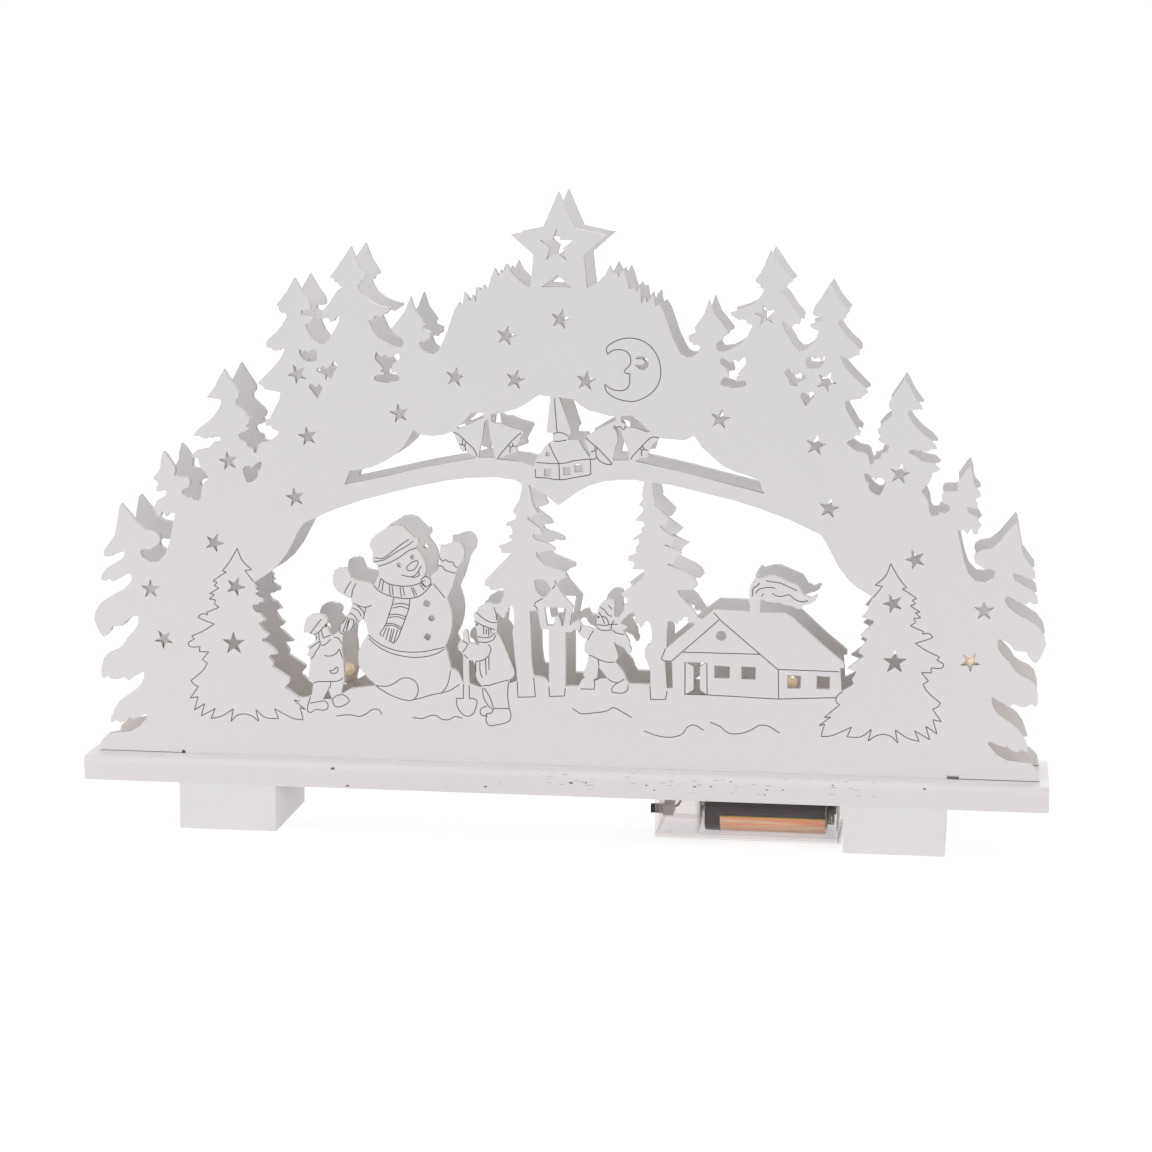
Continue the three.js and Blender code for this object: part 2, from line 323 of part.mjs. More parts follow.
// Smaller gaps between the figures, named for what lies on either side.
const FIGURE_GAPS = {
  childToSnowman: [
    [-88.3, 80.4], [-87.6, 81.9], [-86.4, 82.4], [-85.4, 81.9], [-84.3, 82.8], [-83.4, 84.9],
    [-82.9, 85.9], [-81.9, 85.2], [-80.9, 86.1], [-79.9, 86.8], [-78.5, 85], [-77.9, 82.4],
    [-77.8, 81], [-78.6, 79.4], [-80.2, 77.4], [-81.2, 75.4], [-81.9, 73.5], [-82, 69],
    [-81.2, 66.3], [-79.6, 64.4], [-77.5, 62.2], [-75.2, 60.4], [-75.1, 59.7], [-78.5, 59],
    [-82.5, 58.5], [-85.5, 58], [-87.5, 57], [-88.9, 55.9], [-89.2, 57], [-88.5, 58.9],
    [-88, 61], [-88.1, 66], [-88.3, 71.5], [-88.8, 74.3], [-88.6, 77.5],
  ],
  wavingChildLegs: [[-94.6, 57.6], [-93.1, 53.5], [-96.9, 53.5]],
  shovelToChild: [
    [-36.6, 71.3], [-34.2, 71.2], [-34, 68], [-33.8, 65.5], [-33.2, 63.3], [-32, 61.5],
    [-31, 60.4], [-32.5, 60.5], [-34.5, 61.1], [-36.4, 61.7],
  ],
  childToTrunk: [
    [-25, 91.2], [-24.2, 90.7], [-23.4, 89.5], [-22.5, 88.8], [-21.8, 89.5], [-21.2, 91.2],
    [-20.4, 91.6], [-20.3, 93], [-19, 94], [-18.2, 92.3], [-18, 90], [-18.1, 86],
    [-18.8, 83.5], [-18.6, 80], [-17.9, 76], [-17.4, 72], [-16.9, 66], [-16.8, 63.5],
    [-20, 62.4], [-20.1, 63.9], [-18.8, 64.4], [-17.9, 66.4], [-18.2, 68], [-19.8, 71.5],
    [-21.3, 75], [-22.5, 78.4], [-24, 81.5], [-25.3, 83], [-25.2, 85], [-24.8, 87],
    [-25.2, 89],
  ],
  trunkToLantern: [
    [-11.7, 92.3], [-10.9, 91.8], [-10.2, 92.4], [-9.1, 91.9], [-8.5, 92.3], [-8, 90.5],
    [-7.7, 88], [-7.5, 86.6], [-7.2, 84.8], [-4, 84.7], [-4, 62.8], [-4.5, 64],
    [-6, 65], [-10, 65.6], [-10.5, 67], [-11.1, 72], [-11.3, 78], [-11.5, 84],
  ],
  aboveLanternRoof: [
    [-9.9, 104.5], [-8.6, 105.2], [-6.5, 105.1], [-5, 104.3], [-4, 102.8], [-3.2, 101.8],
    [-2.9, 100.9], [-4, 99.4], [-5.5, 98], [-6.8, 98], [-8.5, 99.4], [-9.6, 101.4], [-10, 103],
  ],
  lanternPanes: [
    [-5.9, 93.7], [3.1, 93.7], [2.6, 90.5], [2.3, 88], [2, 86.5], [1.1, 86.3], [0.9, 88],
    [0.3, 89.5], [-0.4, 90.8], [-1.5, 90], [-2, 88.5], [-2.2, 86.4], [-4.8, 86.3], [-5.2, 89],
    [-5.6, 91.5],
  ],
  lanternToChild: [
    [2.7, 83.8], [5.2, 84], [6.2, 85.1], [7.5, 84.6], [8, 83.2], [9.3, 82], [11.3, 81.1],
    [10.5, 79.3], [10.3, 76.3], [11.9, 74.8], [11.7, 72.6], [10.6, 69.8], [9.7, 66.6],
    [10.7, 65.4], [9.2, 64.7], [8.5, 62.9], [8, 61.9], [2.7, 61.8],
  ],
  reachingChildLegs: [
    [16, 70.2], [17, 69.2], [18.5, 67], [19.8, 65.6], [17, 65.4], [15.8, 64.9], [14.2, 64.2],
    [14, 65], [15.4, 65.5], [15.6, 67.5],
  ],
  childToTree: [
    [25.8, 89.4], [24.9, 88.1], [27, 87.2], [27.8, 86.4], [25.9, 85.2], [26.5, 84],
    [27.6, 82.6], [28.4, 81], [28.5, 79], [29.3, 77.3], [28.9, 75.9], [28, 75.6],
    [27.2, 76.8], [26.3, 78.2], [24.5, 78.9], [23, 79.7], [22.2, 80.5], [22.8, 78.5],
    [23.3, 76.5], [23.9, 75], [23.7, 73.6], [22.8, 72.2], [24.5, 70], [26.3, 67.8],
    [26.9, 66], [27.3, 65], [28.4, 63.4], [37, 63.4], [36.9, 69], [35.5, 72.7],
    [34.6, 75], [34.5, 77.6], [35.4, 79.2], [36.8, 79.9], [37.4, 82.5], [37.4, 85.5],
    [36.6, 88.6], [35.5, 89.3], [34.4, 88.6], [33.6, 86.8], [32.7, 86.4], [32.2, 88],
    [31.2, 88.3], [30.5, 89.6], [30.8, 91.6], [30, 92.7], [28.6, 92.2], [27.4, 91.2],
  ],
  trunkToRoof: [
    [43.4, 78.6], [43.2, 80], [43.4, 85], [43.9, 89.4], [45.6, 89.4], [46.3, 87.9],
    [47.1, 88.8], [47.7, 88.2], [48.4, 89.9], [49.4, 89.8], [50.3, 91.4], [51.8, 91.1],
    [51.5, 89.7], [52.6, 88.9], [53.8, 89.2], [54.6, 88.3], [50, 84.3], [46, 80.8],
  ],
  underEave: [[42.6, 73.2], [45.6, 72.9], [45.9, 68], [45.9, 62.3], [43.5, 62.2], [42.9, 67]],
};

// Doors, panes and the moon's eye.
const SMALL_OPENINGS = {
  houseDoor: [
    [51.3, 73], [59.3, 73.1], [56.8, 71.3], [56.8, 62], [59.5, 60.1], [51.3, 60.1],
    [54.2, 62], [54.2, 71.3],
  ],
  houseWindowLeft: [[62.4, 72], [68.7, 71.8], [68.6, 66.9], [62.4, 66.9]],
  houseWindowRight: [[73.2, 72], [79, 71.8], [78.9, 66.8], [73.3, 66.8]],
  annexWindowLeft: [[91.5, 69], [96.9, 68.9], [96.8, 63.6], [91.5, 63.6]],
  annexWindowRight: [[103.1, 69], [108.3, 68.8], [108.3, 63.6], [103.1, 63.7]],
  churchDoor: [[-5.8, 146.5], [-3, 146.5], [-3, 149.8], [-5.8, 149.5]],
  churchGable: [[-5.2, 154.6], [-3.4, 154.6], [-3.5, 156], [-4.3, 156.6], [-5.1, 156]],
  churchWindowLeft: [[1.8, 147], [4.8, 147.4], [4.8, 150.6], [1.8, 150.3]],
  churchWindowRight: [[6.3, 148.2], [9.8, 148.6], [9.8, 151.8], [6.3, 151.4]],
  moonEye: [
    [30.4, 193.6], [31.5, 194.6], [33.2, 194.8], [34.9, 193.9], [35.8, 192.2], [35.3, 190.3],
    [33.9, 189.3], [32.2, 189.5], [30.9, 190.4], [30.2, 191.2], [31.8, 191.1], [33.4, 191.4],
    [34.3, 192.4], [33.4, 193.4], [31.8, 193.5],
  ],
  starFoot: [[-6.7, 221.3], [5.2, 221.3], [-0.6, 226]],
};

// The slots and gaps round the bells and the church, above the rib.
const BELL_GAPS = {
  leftSlot: [
    [-84.6, 147.2], [-79, 147.9], [-75, 149], [-70, 151.3], [-66, 154], [-62.5, 157.3],
    [-60, 160.8], [-58.2, 164], [-56.5, 162.6], [-54, 162], [-50.5, 161.8], [-46, 162.4],
    [-42.5, 163.7], [-41.5, 161], [-40, 158.5], [-39.5, 156.8], [-38.3, 155.5], [-37.2, 156],
    [-36.3, 155], [-33.5, 154], [-33.5, 153.2], [-38, 152.4], [-45, 151], [-55, 149],
    [-70, 145.2], [-86.7, 141.6],
  ],
  aboveBell1: [
    [-41, 165.1], [-39.2, 166.3], [-37, 168.8], [-35.2, 171], [-34, 171.4], [-30.3, 171.3],
    [-29.7, 170.3], [-30, 169.4], [-33, 168.2], [-36, 167], [-37.5, 166], [-40, 165],
  ],
  bell1ToBell2: [
    [-28.9, 168.7], [-29.9, 167.2], [-30.1, 164], [-30.6, 161], [-31.5, 158], [-31.9, 155.7],
    [-32.2, 153.5], [-27, 153.6], [-25.3, 153.6], [-25.8, 154.5], [-26.4, 158], [-27.3, 162],
    [-27.6, 165], [-28.2, 168.5],
  ],
  bell2ToChurch: [
    [-27.1, 170.7], [-25.5, 171.2], [-22.3, 171.4], [-20, 172], [-16, 173.5], [-12, 175.8],
    [-8.5, 178.8], [-6.5, 178.5], [-3.3, 178.2], [-4.9, 164], [-2.4, 163.8], [-2.3, 161],
    [-4, 160], [-5.5, 158.5], [-7, 156], [-8.5, 155], [-9.2, 152], [-10, 150.2],
    [-15, 152], [-22, 152.8], [-24.4, 153], [-20, 155], [-16.7, 156], [-16.8, 157],
    [-17, 158], [-16.3, 159], [-15.3, 160.8], [-15.5, 161.5], [-14, 164], [-15.3, 164.8],
    [-17, 165.3], [-19.5, 165.8], [-21.5, 166.8], [-23, 167.3], [-25.5, 167.3], [-27, 168],
  ],
  churchToBell3: [
    [0.2, 178], [5.8, 177.3], [8.5, 175], [12, 173], [15, 172.2], [20, 171], [22.6, 170.8],
    [22.7, 169.2], [20, 167.8], [17, 166.5], [14.3, 165], [12, 163.4], [10.7, 162.6],
    [10.5, 160.6], [11.4, 158.3], [12.7, 156], [12.4, 154.3], [11, 156], [9, 159], [8, 161.2],
    [3.7, 161.2], [4, 163], [5, 164.3],
  ],
  bell3ToBell4: [
    [21.4, 166.5], [22.7, 165.3], [23.5, 163], [23.3, 160.6], [22.3, 158], [21.7, 155],
    [21.6, 153.3], [28.1, 153.5], [28, 155], [27.8, 157], [27, 159.5], [26, 161.3],
    [25.2, 163.5], [24.9, 165.5], [24, 166.2],
  ],
  aboveBell4: [
    [24.8, 170.9], [24.9, 168.5], [26.3, 168], [26.7, 166.6], [28.7, 166.5], [30.5, 166.3],
    [33.5, 165.2], [35, 164.8], [36.4, 164.9], [34, 167.3], [31.2, 169.9], [29.2, 171.2],
    [27, 171.1],
  ],
  rightSlot: [
    [40.3, 162.5], [38.5, 161.3], [37.3, 160], [36.3, 158.3], [36, 156.3], [35.3, 154.7],
    [33, 154.7], [31.5, 153.6], [30.4, 153.2], [35, 152], [40, 151.3], [50, 149],
    [70, 144], [81.5, 141.3], [79.5, 146.5], [76, 148], [70, 149.8], [65, 152],
    [60, 156.5], [57, 159], [53.7, 163.6], [50, 161.8], [44, 162],
  ],
};

// Ornaments cut out of the fir tops. Each is drawn on the left and mirrored to the right.
const ORNAMENTS = {
  heart: [
    [-100.8, 180.5], [-100, 181.8], [-98.8, 181.6], [-97.9, 180.4], [-97.3, 181.2],
    [-96.3, 181.7], [-95.2, 180.7], [-95.2, 179.8], [-96.2, 178], [-97.3, 176], [-98.8, 177.8],
  ],
  toyAnimal: [
    [-97.5, 187.8], [-97, 188.3], [-95.7, 188.2], [-94.8, 189.2], [-94.3, 188.3],
    [-92.8, 188.2], [-91.5, 189.3], [-90.5, 191.3], [-89.5, 190.3], [-88.8, 189.3],
    [-89.3, 188], [-90.3, 187], [-91, 185.2], [-91.3, 184.2], [-92.7, 183.8], [-94, 183.8],
    [-93.8, 185.2], [-94.5, 185.8], [-96.3, 186.2], [-97.2, 186.8],
  ],
  bowl: [
    [-104.5, 195.4], [-103.8, 195.3], [-103.5, 193.8], [-101.8, 195.2], [-101.3, 194.6],
    [-100, 194.6], [-99.3, 195.3], [-98, 195.5], [-97.2, 194.8], [-97.1, 192.5], [-97.8, 191],
    [-100, 190.7], [-102.5, 191.2], [-104, 192.8],
  ],
  rockingHorse: [
    [-73.2, 195], [-72.3, 193.8], [-71, 192.8], [-69.5, 193.9], [-68, 192.6], [-66.5, 193.2],
    [-65.5, 194.2], [-64.2, 194.3], [-63.6, 193.2], [-64, 192], [-66.3, 190.3], [-67.2, 187.8],
    [-67, 186.8], [-65.3, 186.8], [-64.5, 185.6], [-63.8, 185], [-63.9, 184], [-65, 183.4],
    [-67, 183.3], [-68.4, 182.6], [-69.5, 183], [-73.3, 183.4], [-74.2, 184.2], [-73.8, 185.3],
    [-72.5, 185.8], [-70.3, 185.8], [-70, 187], [-71.6, 187.3], [-70.5, 188.3], [-71.5, 189.8],
    [-73, 191], [-73.9, 192.3], [-73.6, 194],
  ],
  bauble: [
    [-120.5, 150.3], [-121.8, 150], [-123.4, 149], [-125, 147.5], [-126, 148.5],
    [-127.5, 148.3], [-128.7, 146.8], [-128.2, 145], [-127.8, 143.5], [-126.8, 141.7],
    [-125.3, 141.7], [-123.5, 142.8], [-122.2, 144.3], [-122.3, 146.3], [-121, 147.2],
    [-120.6, 148.8],
  ],
};

// Five-pointed star holes: centre, turn of one point in degrees and outer radius.
const STAR_RADIUS = 4.2;
const BIG_STAR_RADIUS = 5;
const STAR_WAIST = 0.4;
const MIRRORED_STARS = [
  { x: 163, z: 76.4, turn: 130 },
  { x: 168, z: 97, turn: 90 },
  { x: 140.9, z: 116.7, turn: 111 },
  { x: 132.5, z: 98.9, turn: 111 },
  { x: 133.7, z: 75.4, turn: 90, radius: BIG_STAR_RADIUS },
  { x: 107, z: 136, turn: 80 },
  { x: 134.3, z: 150.2, turn: 80 },
  { x: 101.5, z: 160.8, turn: 80 },
  { x: 105.2, z: 185.7, turn: 65 },
  { x: 64, z: 170.6, turn: 80 },
];
const SINGLE_STARS = [
  { x: -41.2, z: 185.4, turn: 80 },
  { x: -17.1, z: 184.8, turn: 77 },
  { x: -20.8, z: 202, turn: 78 },
  { x: 0.9, z: 208.8, turn: 78 },
  { x: 11, z: 184.8, turn: 82 },
  { x: 81.2, z: 211.3, turn: 100 },
];
const TOP_STAR_HOLE = { x: -0.8, z: 237.4, turn: 90, radius: 6.8 };
const ROUND_HOLES = [
  { x: -53.6, z: 94, radius: 1.5 },
  { x: -51.7, z: 88, radius: 1.4 },
  { x: -53.4, z: 80.4, radius: 1.5 },
  { x: -64.6, z: 109.4, radius: 1.1 },
  { x: -59.2, z: 112.7, radius: 1.1 },
  { x: 65.1, z: 84.1, radius: 2.1 },
];
const ROUND_HOLE_SIDES = 12;

const mirrored = (points) => points.map(([x, z]) => [-x, z]).reverse();

function distanceToLine([px, pz], [ax, az], [bx, bz]) {
  const dx = bx - ax;
  const dz = bz - az;
  const lengthSquared = dx * dx + dz * dz;
  const t = lengthSquared ? ((px - ax) * dx + (pz - az) * dz) / lengthSquared : 0;
  const near = THREE.MathUtils.clamp(t, 0, 1);
  return Math.hypot(px - ax - near * dx, pz - az - near * dz);
}

// The points of an open run that are needed to keep within the tolerance; the last is left out.
function thinRun(points, tolerance) {
  const first = points[0];
  const last = points[points.length - 1];
  const strays = points.map((p) => distanceToLine(p, first, last));
  const worst = Math.max(...strays);
  if (worst <= tolerance) return [first];
  const at = strays.indexOf(worst);
  return [
    ...thinRun(points.slice(0, at + 1), tolerance),
    ...thinRun(points.slice(at), tolerance),
  ];
}

function thin(points, tolerance) {
  const reach = points.map(([x, z]) => Math.hypot(x - points[0][0], z - points[0][1]));
  const far = reach.indexOf(Math.max(...reach));
  return [
    ...thinRun(points.slice(0, far + 1), tolerance),
    ...thinRun([...points.slice(far), points[0]], tolerance),
  ];
}

// A shape with straight sides through the points.
const shapeOf = (points) => new THREE.Shape(points.map(([x, z]) => new THREE.Vector2(x, z)));

function starPoints({ x, z, turn, radius = STAR_RADIUS }) {
  return Array.from({ length: 10 }, (_, i) => {
    const reach = i % 2 ? radius * STAR_WAIST : radius;
    const angle = THREE.MathUtils.degToRad(turn + i * 36);
    return [x + reach * Math.cos(angle), z + reach * Math.sin(angle)];
  });
}

function circlePoints({ x, z, radius }) {
  return Array.from({ length: ROUND_HOLE_SIDES }, (_, i) => {
    const angle = (i * 2 * Math.PI) / ROUND_HOLE_SIDES;
    return [x + radius * Math.cos(angle), z + radius * Math.sin(angle)];
  });
}

// Both panels are cut to this outline, with the tongue that stands in the groove, and these holes.
function panelOutline() {
  const rightEdge = [
    ...EDGE_FOOT, ...EDGE_FIR_1, ...EDGE_FIR_2, ...EDGE_FIR_3, ...EDGE_FIR_4, ...EDGE_FIR_5,
    ...EDGE_FIR_6, ...EDGE_SKY, ...EDGE_STAR,
  ];
  const tongueFoot = PANEL_BASE - SHOULDER_GAP - PANEL_TONGUE_DEPTH;
  const reliefTop = PANEL_BASE + RELIEF_HEIGHT;
  return [
    [-PANEL_TONGUE_HALF - LEFT_RELIEF, PANEL_BASE],
    [-PANEL_TONGUE_HALF - LEFT_RELIEF, reliefTop],
    [-PANEL_TONGUE_HALF, reliefTop],
    [-PANEL_TONGUE_HALF, tongueFoot],
    [PANEL_TONGUE_HALF, tongueFoot],
    [PANEL_TONGUE_HALF, reliefTop],
    [PANEL_TONGUE_HALF + RIGHT_RELIEF, reliefTop],
    [PANEL_TONGUE_HALF + RIGHT_RELIEF, PANEL_BASE],
    ...rightEdge,
    STAR_TIP,
    ...mirrored(rightEdge),
  ];
}

function panelHoles() {
  const ornaments = Object.values(ORNAMENTS);
  const stars = [
    ...MIRRORED_STARS,
    ...MIRRORED_STARS.map((star) => ({ ...star, x: -star.x, turn: 180 - star.turn })),
    ...SINGLE_STARS,
    TOP_STAR_HOLE,
  ];
  return [
    LEFT_WINDOW, MIDDLE_WINDOW, RIGHT_WINDOW,
    ...Object.values(FIGURE_GAPS), ...Object.values(SMALL_OPENINGS), ...Object.values(BELL_GAPS),
    ...ornaments, ...ornaments.map(mirrored),
    ...stars.map(starPoints), ...ROUND_HOLES.map(circlePoints),
  ];
}

// A shape drawn in x and z, extruded along +Y from y = front.
function plate(shape, thickness, front) {
  return new THREE.ExtrudeGeometry(shape, { depth: thickness, bevelEnabled: false })
    .rotateX(Math.PI / 2)
    .translate(0, front + thickness, 0);
}

function block(x0, x1, y0, y1, z0, z1) {
  return new THREE.BoxGeometry(x1 - x0, y1 - y0, z1 - z0).translate(
    (x0 + x1) / 2,
    (y0 + y1) / 2,
    (z0 + z1) / 2,
  );
}

function upright(radius, x, y, z0, z1, sides = 24) {
  return new THREE.CylinderGeometry(radius, radius, z1 - z0, sides)
    .rotateX(Math.PI / 2)
    .translate(x, y, (z0 + z1) / 2);
}

// three.js geometry to a manifold-3d solid and back.
function solid(geometry) {
  const bare = new THREE.BufferGeometry();
  const flat = geometry.index ? geometry.toNonIndexed() : geometry;
  bare.setAttribute("position", flat.getAttribute("position"));
  const merged = mergeVertices(bare, 1e-4);
  return new wasm.Manifold(
    new wasm.Mesh({
      numProp: 3,
      vertProperties: new Float32Array(merged.attributes.position.array),
      triVerts: new Uint32Array(merged.index.array),
    }),
  );
}

function geometryOf(body) {
  const mesh = body.getMesh();
  const geometry = new THREE.BufferGeometry();
  geometry.setAttribute("position", new THREE.BufferAttribute(mesh.vertProperties, 3));
  geometry.setIndex(new THREE.BufferAttribute(mesh.triVerts, 1));
  geometry.computeVertexNormals();
  return geometry;
}

const cut = (body, ...tools) =>
  geometryOf(tools.reduce((rest, tool) => rest.subtract(solid(tool)), solid(body)));
const join = (...parts) =>
  geometryOf(parts.map(solid).reduce((whole, part) => whole.add(part)));

// A wire of round section along a smooth curve through the points.
function wire(points, radius, steps) {
  const curve = new THREE.CatmullRomCurve3(
    points.map((p) => new THREE.Vector3(...p)),
    false,
    "catmullrom",
    0.1,
  );
  return wireAlong(curve, radius, steps);
}

function wireAlong(curve, radius, steps) {
  const section = new THREE.Shape();
  section.absarc(0, 0, radius, 0, 2 * Math.PI);
  return new THREE.ExtrudeGeometry(section, { steps, curveSegments: 4, extrudePath: curve });
}

// The board's section has its two long top edges eased.
function boardGeometry() {
  const half = BOARD_DEPTH / 2;
  const r = BOARD_EDGE_ROUND;
  const section = new THREE.Shape();
  section.moveTo(-half, BOARD_BOTTOM);
  section.lineTo(half, BOARD_BOTTOM);
  section.lineTo(half, BOARD_TOP - r);
  section.absarc(half - r, BOARD_TOP - r, r, 0, Math.PI / 2);
  section.lineTo(r - half, BOARD_TOP);
  section.absarc(r - half, BOARD_TOP - r, r, Math.PI / 2, Math.PI);
  const board = new THREE.ExtrudeGeometry(section, {
    depth: BOARD_LENGTH,
    bevelEnabled: false,
    curveSegments: 8,
  })
    .rotateX(Math.PI / 2)
    .rotateZ(Math.PI / 2)
    .translate(-BOARD_LENGTH / 2, 0, 0);
  const groove0 = -PANEL_TONGUE_HALF - LEFT_RELIEF;
  const groove1 = PANEL_TONGUE_HALF + RIGHT_RELIEF;
  const grooves = [-TOP_GROOVE_Y, TOP_GROOVE_Y].map((y) => {
    const side = PANEL_THICKNESS / 2 + GROOVE_CLEARANCE;
    return block(groove0, groove1, y - side, y + side, BOARD_TOP - GROOVE_DEPTH, BOARD_TOP + 1);
  });
  return cut(board, ...grooves, upright(WIRE_HOLE_RADIUS, LEAD_X, LEAD_Y, CASE_TOP - 1, BOARD_TOP + 1));
}

function footGeometry(x) {
  const half = FOOT_LENGTH / 2;
  return block(x - half, x + half, -BOARD_DEPTH / 2, BOARD_DEPTH / 2, 0, FOOT_HEIGHT);
}

function panelGeometry(front, tolerance) {
  const board = plate(shapeOf(thin(panelOutline(), tolerance)), PANEL_THICKNESS, front);
  const holes = panelHoles().map((points) =>
    plate(shapeOf(thin(points, tolerance)), PANEL_THICKNESS + 2, front - 1),
  );
  return cut(board, ...holes);
}

// Case: a clear box open below, with a cell bay, a switch room and grooves that the lid runs in.
function roundedBlock(x0, x1, y0, y1, z0, z1, r) {
  const section = new THREE.Shape();
  section.absarc(x1 - r, y1 - r, r, 0, Math.PI / 2);
  section.absarc(x0 + r, y1 - r, r, Math.PI / 2, Math.PI);
  section.absarc(x0 + r, y0 + r, r, Math.PI, 1.5 * Math.PI);
  section.absarc(x1 - r, y0 + r, r, 1.5 * Math.PI, 2 * Math.PI);
  return new THREE.ExtrudeGeometry(section, {
    depth: z1 - z0,
    bevelEnabled: false,
    curveSegments: 5,
  }).translate(0, 0, z0);
}

function caseGeometry() {
  const y0 = CASE_CENTRE_Y - CASE_HALF_WIDTH;
  const y1 = CASE_CENTRE_Y + CASE_HALF_WIDTH;
  const bay0 = CASE_CENTRE_Y - BAY_HALF_WIDTH;
  const bay1 = CASE_CENTRE_Y + BAY_HALF_WIDTH;
  const below = CASE_BOTTOM - 1;
  const groove0 = bay0 - LID_GROOVE_DEPTH;
  const groove1 = bay1 + LID_GROOVE_DEPTH;
  const knobHalf = (KNOB_WIDTH + KNOB_TRAVEL) / 2 + KNOB_CLEARANCE;
  const knobRise = KNOB_HEIGHT / 2 + KNOB_CLEARANCE;
  return cut(
    roundedBlock(CASE_X0, CASE_X1, y0, y1, CASE_BOTTOM, CASE_TOP, CASE_CORNER_RADIUS),
    block(BAY_X0, BAY_X1, bay0, bay1, below, BAY_TOP),
    block(CASE_X0 + CASE_WALL, SWITCH_X1, bay0, bay1, below, BAY_TOP),
    block(CASE_X0 - 1, BAY_X1 + LID_GROOVE_DEPTH, groove0, groove1, GROOVE_BOTTOM, GROOVE_TOP),
    block(CASE_X0 - 1, BAY_X1, bay0, bay1, below, GROOVE_TOP),
    block(
      CASE_X0 - 1, CASE_X0 + CASE_WALL + 1,
      CASE_CENTRE_Y - knobHalf, CASE_CENTRE_Y + knobHalf,
      SWITCH_HEIGHT - knobRise, SWITCH_HEIGHT + knobRise,
    ),
    upright(WIRE_HOLE_RADIUS, LEAD_X, LEAD_Y, BAY_TOP - 1, CASE_TOP + 1),
  );
}

// Lid: a plate whose edges run in the case's grooves, with a raised thumb bar under its outer end.
function lidGeometry() {
  const half = BAY_HALF_WIDTH + LID_GROOVE_DEPTH - LID_CLEARANCE;
  const bottom = LID_TOP - LID_THICKNESS;
  const thumb = bottom - LID_GRIP_RISE;
  const thumbHalf = BAY_HALF_WIDTH / 2;
  return join(
    block(
      CASE_X0, BAY_X1 + LID_GROOVE_DEPTH - LID_CLEARANCE,
      CASE_CENTRE_Y - half, CASE_CENTRE_Y + half, bottom, LID_TOP,
    ),
    block(
      CASE_X0 + 3, CASE_X0 + 6,
      CASE_CENTRE_Y - thumbHalf, CASE_CENTRE_Y + thumbHalf, thumb, bottom + LID_THICKNESS / 2,
    ),
  );
}

// A cell lies along X; facing is +1 when its positive nub points to +X.
function cellProfile(radius) {
  const shoulder = CELL_LENGTH - CELL_NUB_LENGTH;
  return [
    [0, 0], [radius - 0.6, 0], [radius, 0.6], [radius, shoulder - 0.6], [radius - 0.6, shoulder],
    [CELL_NUB_RADIUS, shoulder], [CELL_NUB_RADIUS, CELL_LENGTH - 0.3],
    [CELL_NUB_RADIUS - 0.3, CELL_LENGTH], [0, CELL_LENGTH],
  ].map(([r, h]) => new THREE.Vector2(r, h));
}

function layAlongX(geometry, start, y, facing) {
  return geometry
    .rotateZ(-facing * Math.PI / 2)
    .translate(start + (facing > 0 ? 0 : CELL_LENGTH), y, CELL_Z);
}

const CELL_SIDES = 24;
const CAN_RADIUS = CELL_DIAMETER / 2 - SLEEVE_THICKNESS - SLEEVE_CLEARANCE;

function cellGeometry(start, y, facing) {
  return layAlongX(new THREE.LatheGeometry(cellProfile(CAN_RADIUS), CELL_SIDES), start, y, facing);
}

// Sleeve: the printed film round the can, open at both ends.
function sleeveGeometry(start, y, facing) {
  const inner = CAN_RADIUS + SLEEVE_CLEARANCE;
  const outer = CELL_DIAMETER / 2;
  const first = SLEEVE_LIP;
  const last = CELL_LENGTH - CELL_NUB_LENGTH - SLEEVE_LIP;
  const profile = [
    [inner, first], [outer, first], [outer, last], [inner, last], [inner, first],
  ].map(([r, h]) => new THREE.Vector2(r, h));
  return layAlongX(new THREE.LatheGeometry(profile, CELL_SIDES), start, y, facing);
}

const FRONT_CELL_Y = CASE_CENTRE_Y - CELL_SPACING / 2;
const REAR_CELL_Y = CASE_CENTRE_Y + CELL_SPACING / 2;
const LEFT_PLATE_X = BAY_X0 + TOUCH_GAP;
const RIGHT_PLATE_X = BAY_X1 - TOUCH_GAP - CONTACT_THICKNESS;
const FRONT_CELL_X = LEFT_PLATE_X + CONTACT_THICKNESS + TOUCH_GAP;
const REAR_CELL_X = RIGHT_PLATE_X - TOUCH_GAP - CELL_LENGTH;

function contactGeometry(x, y) {
  const halfWidth = CONTACT_WIDTH / 2;
  const halfHeight = CONTACT_HEIGHT / 2;
  return block(
    x, x + CONTACT_THICKNESS,
    y - halfWidth, y + halfWidth,
    CELL_Z - halfHeight, CELL_Z + halfHeight,
  );
}

// The link plate joins both cells at the right end.
function linkGeometry() {
  const halfWidth = (CELL_SPACING + CONTACT_WIDTH) / 2;
  const halfHeight = CONTACT_HEIGHT / 2;
  return block(
    RIGHT_PLATE_X, RIGHT_PLATE_X + CONTACT_THICKNESS,
    CASE_CENTRE_Y - halfWidth, CASE_CENTRE_Y + halfWidth,
    CELL_Z - halfHeight, CELL_Z + halfHeight,
  );
}

// A cone spring between a contact plate at from and a cell's flat end at to.
class ConeSpring extends THREE.Curve {
  constructor(from, to, y) {
    super();
    Object.assign(this, { from, to, y });
  }
  getPoint(t, target = new THREE.Vector3()) {
    const radius = THREE.MathUtils.lerp(SPRING_BASE_RADIUS, SPRING_TIP_RADIUS, t);
    const angle = t * SPRING_TURNS * 2 * Math.PI;
    return target.set(
      THREE.MathUtils.lerp(this.from, this.to, t),
      this.y + radius * Math.cos(angle),
      CELL_Z + radius * Math.sin(angle),
    );
  }
}

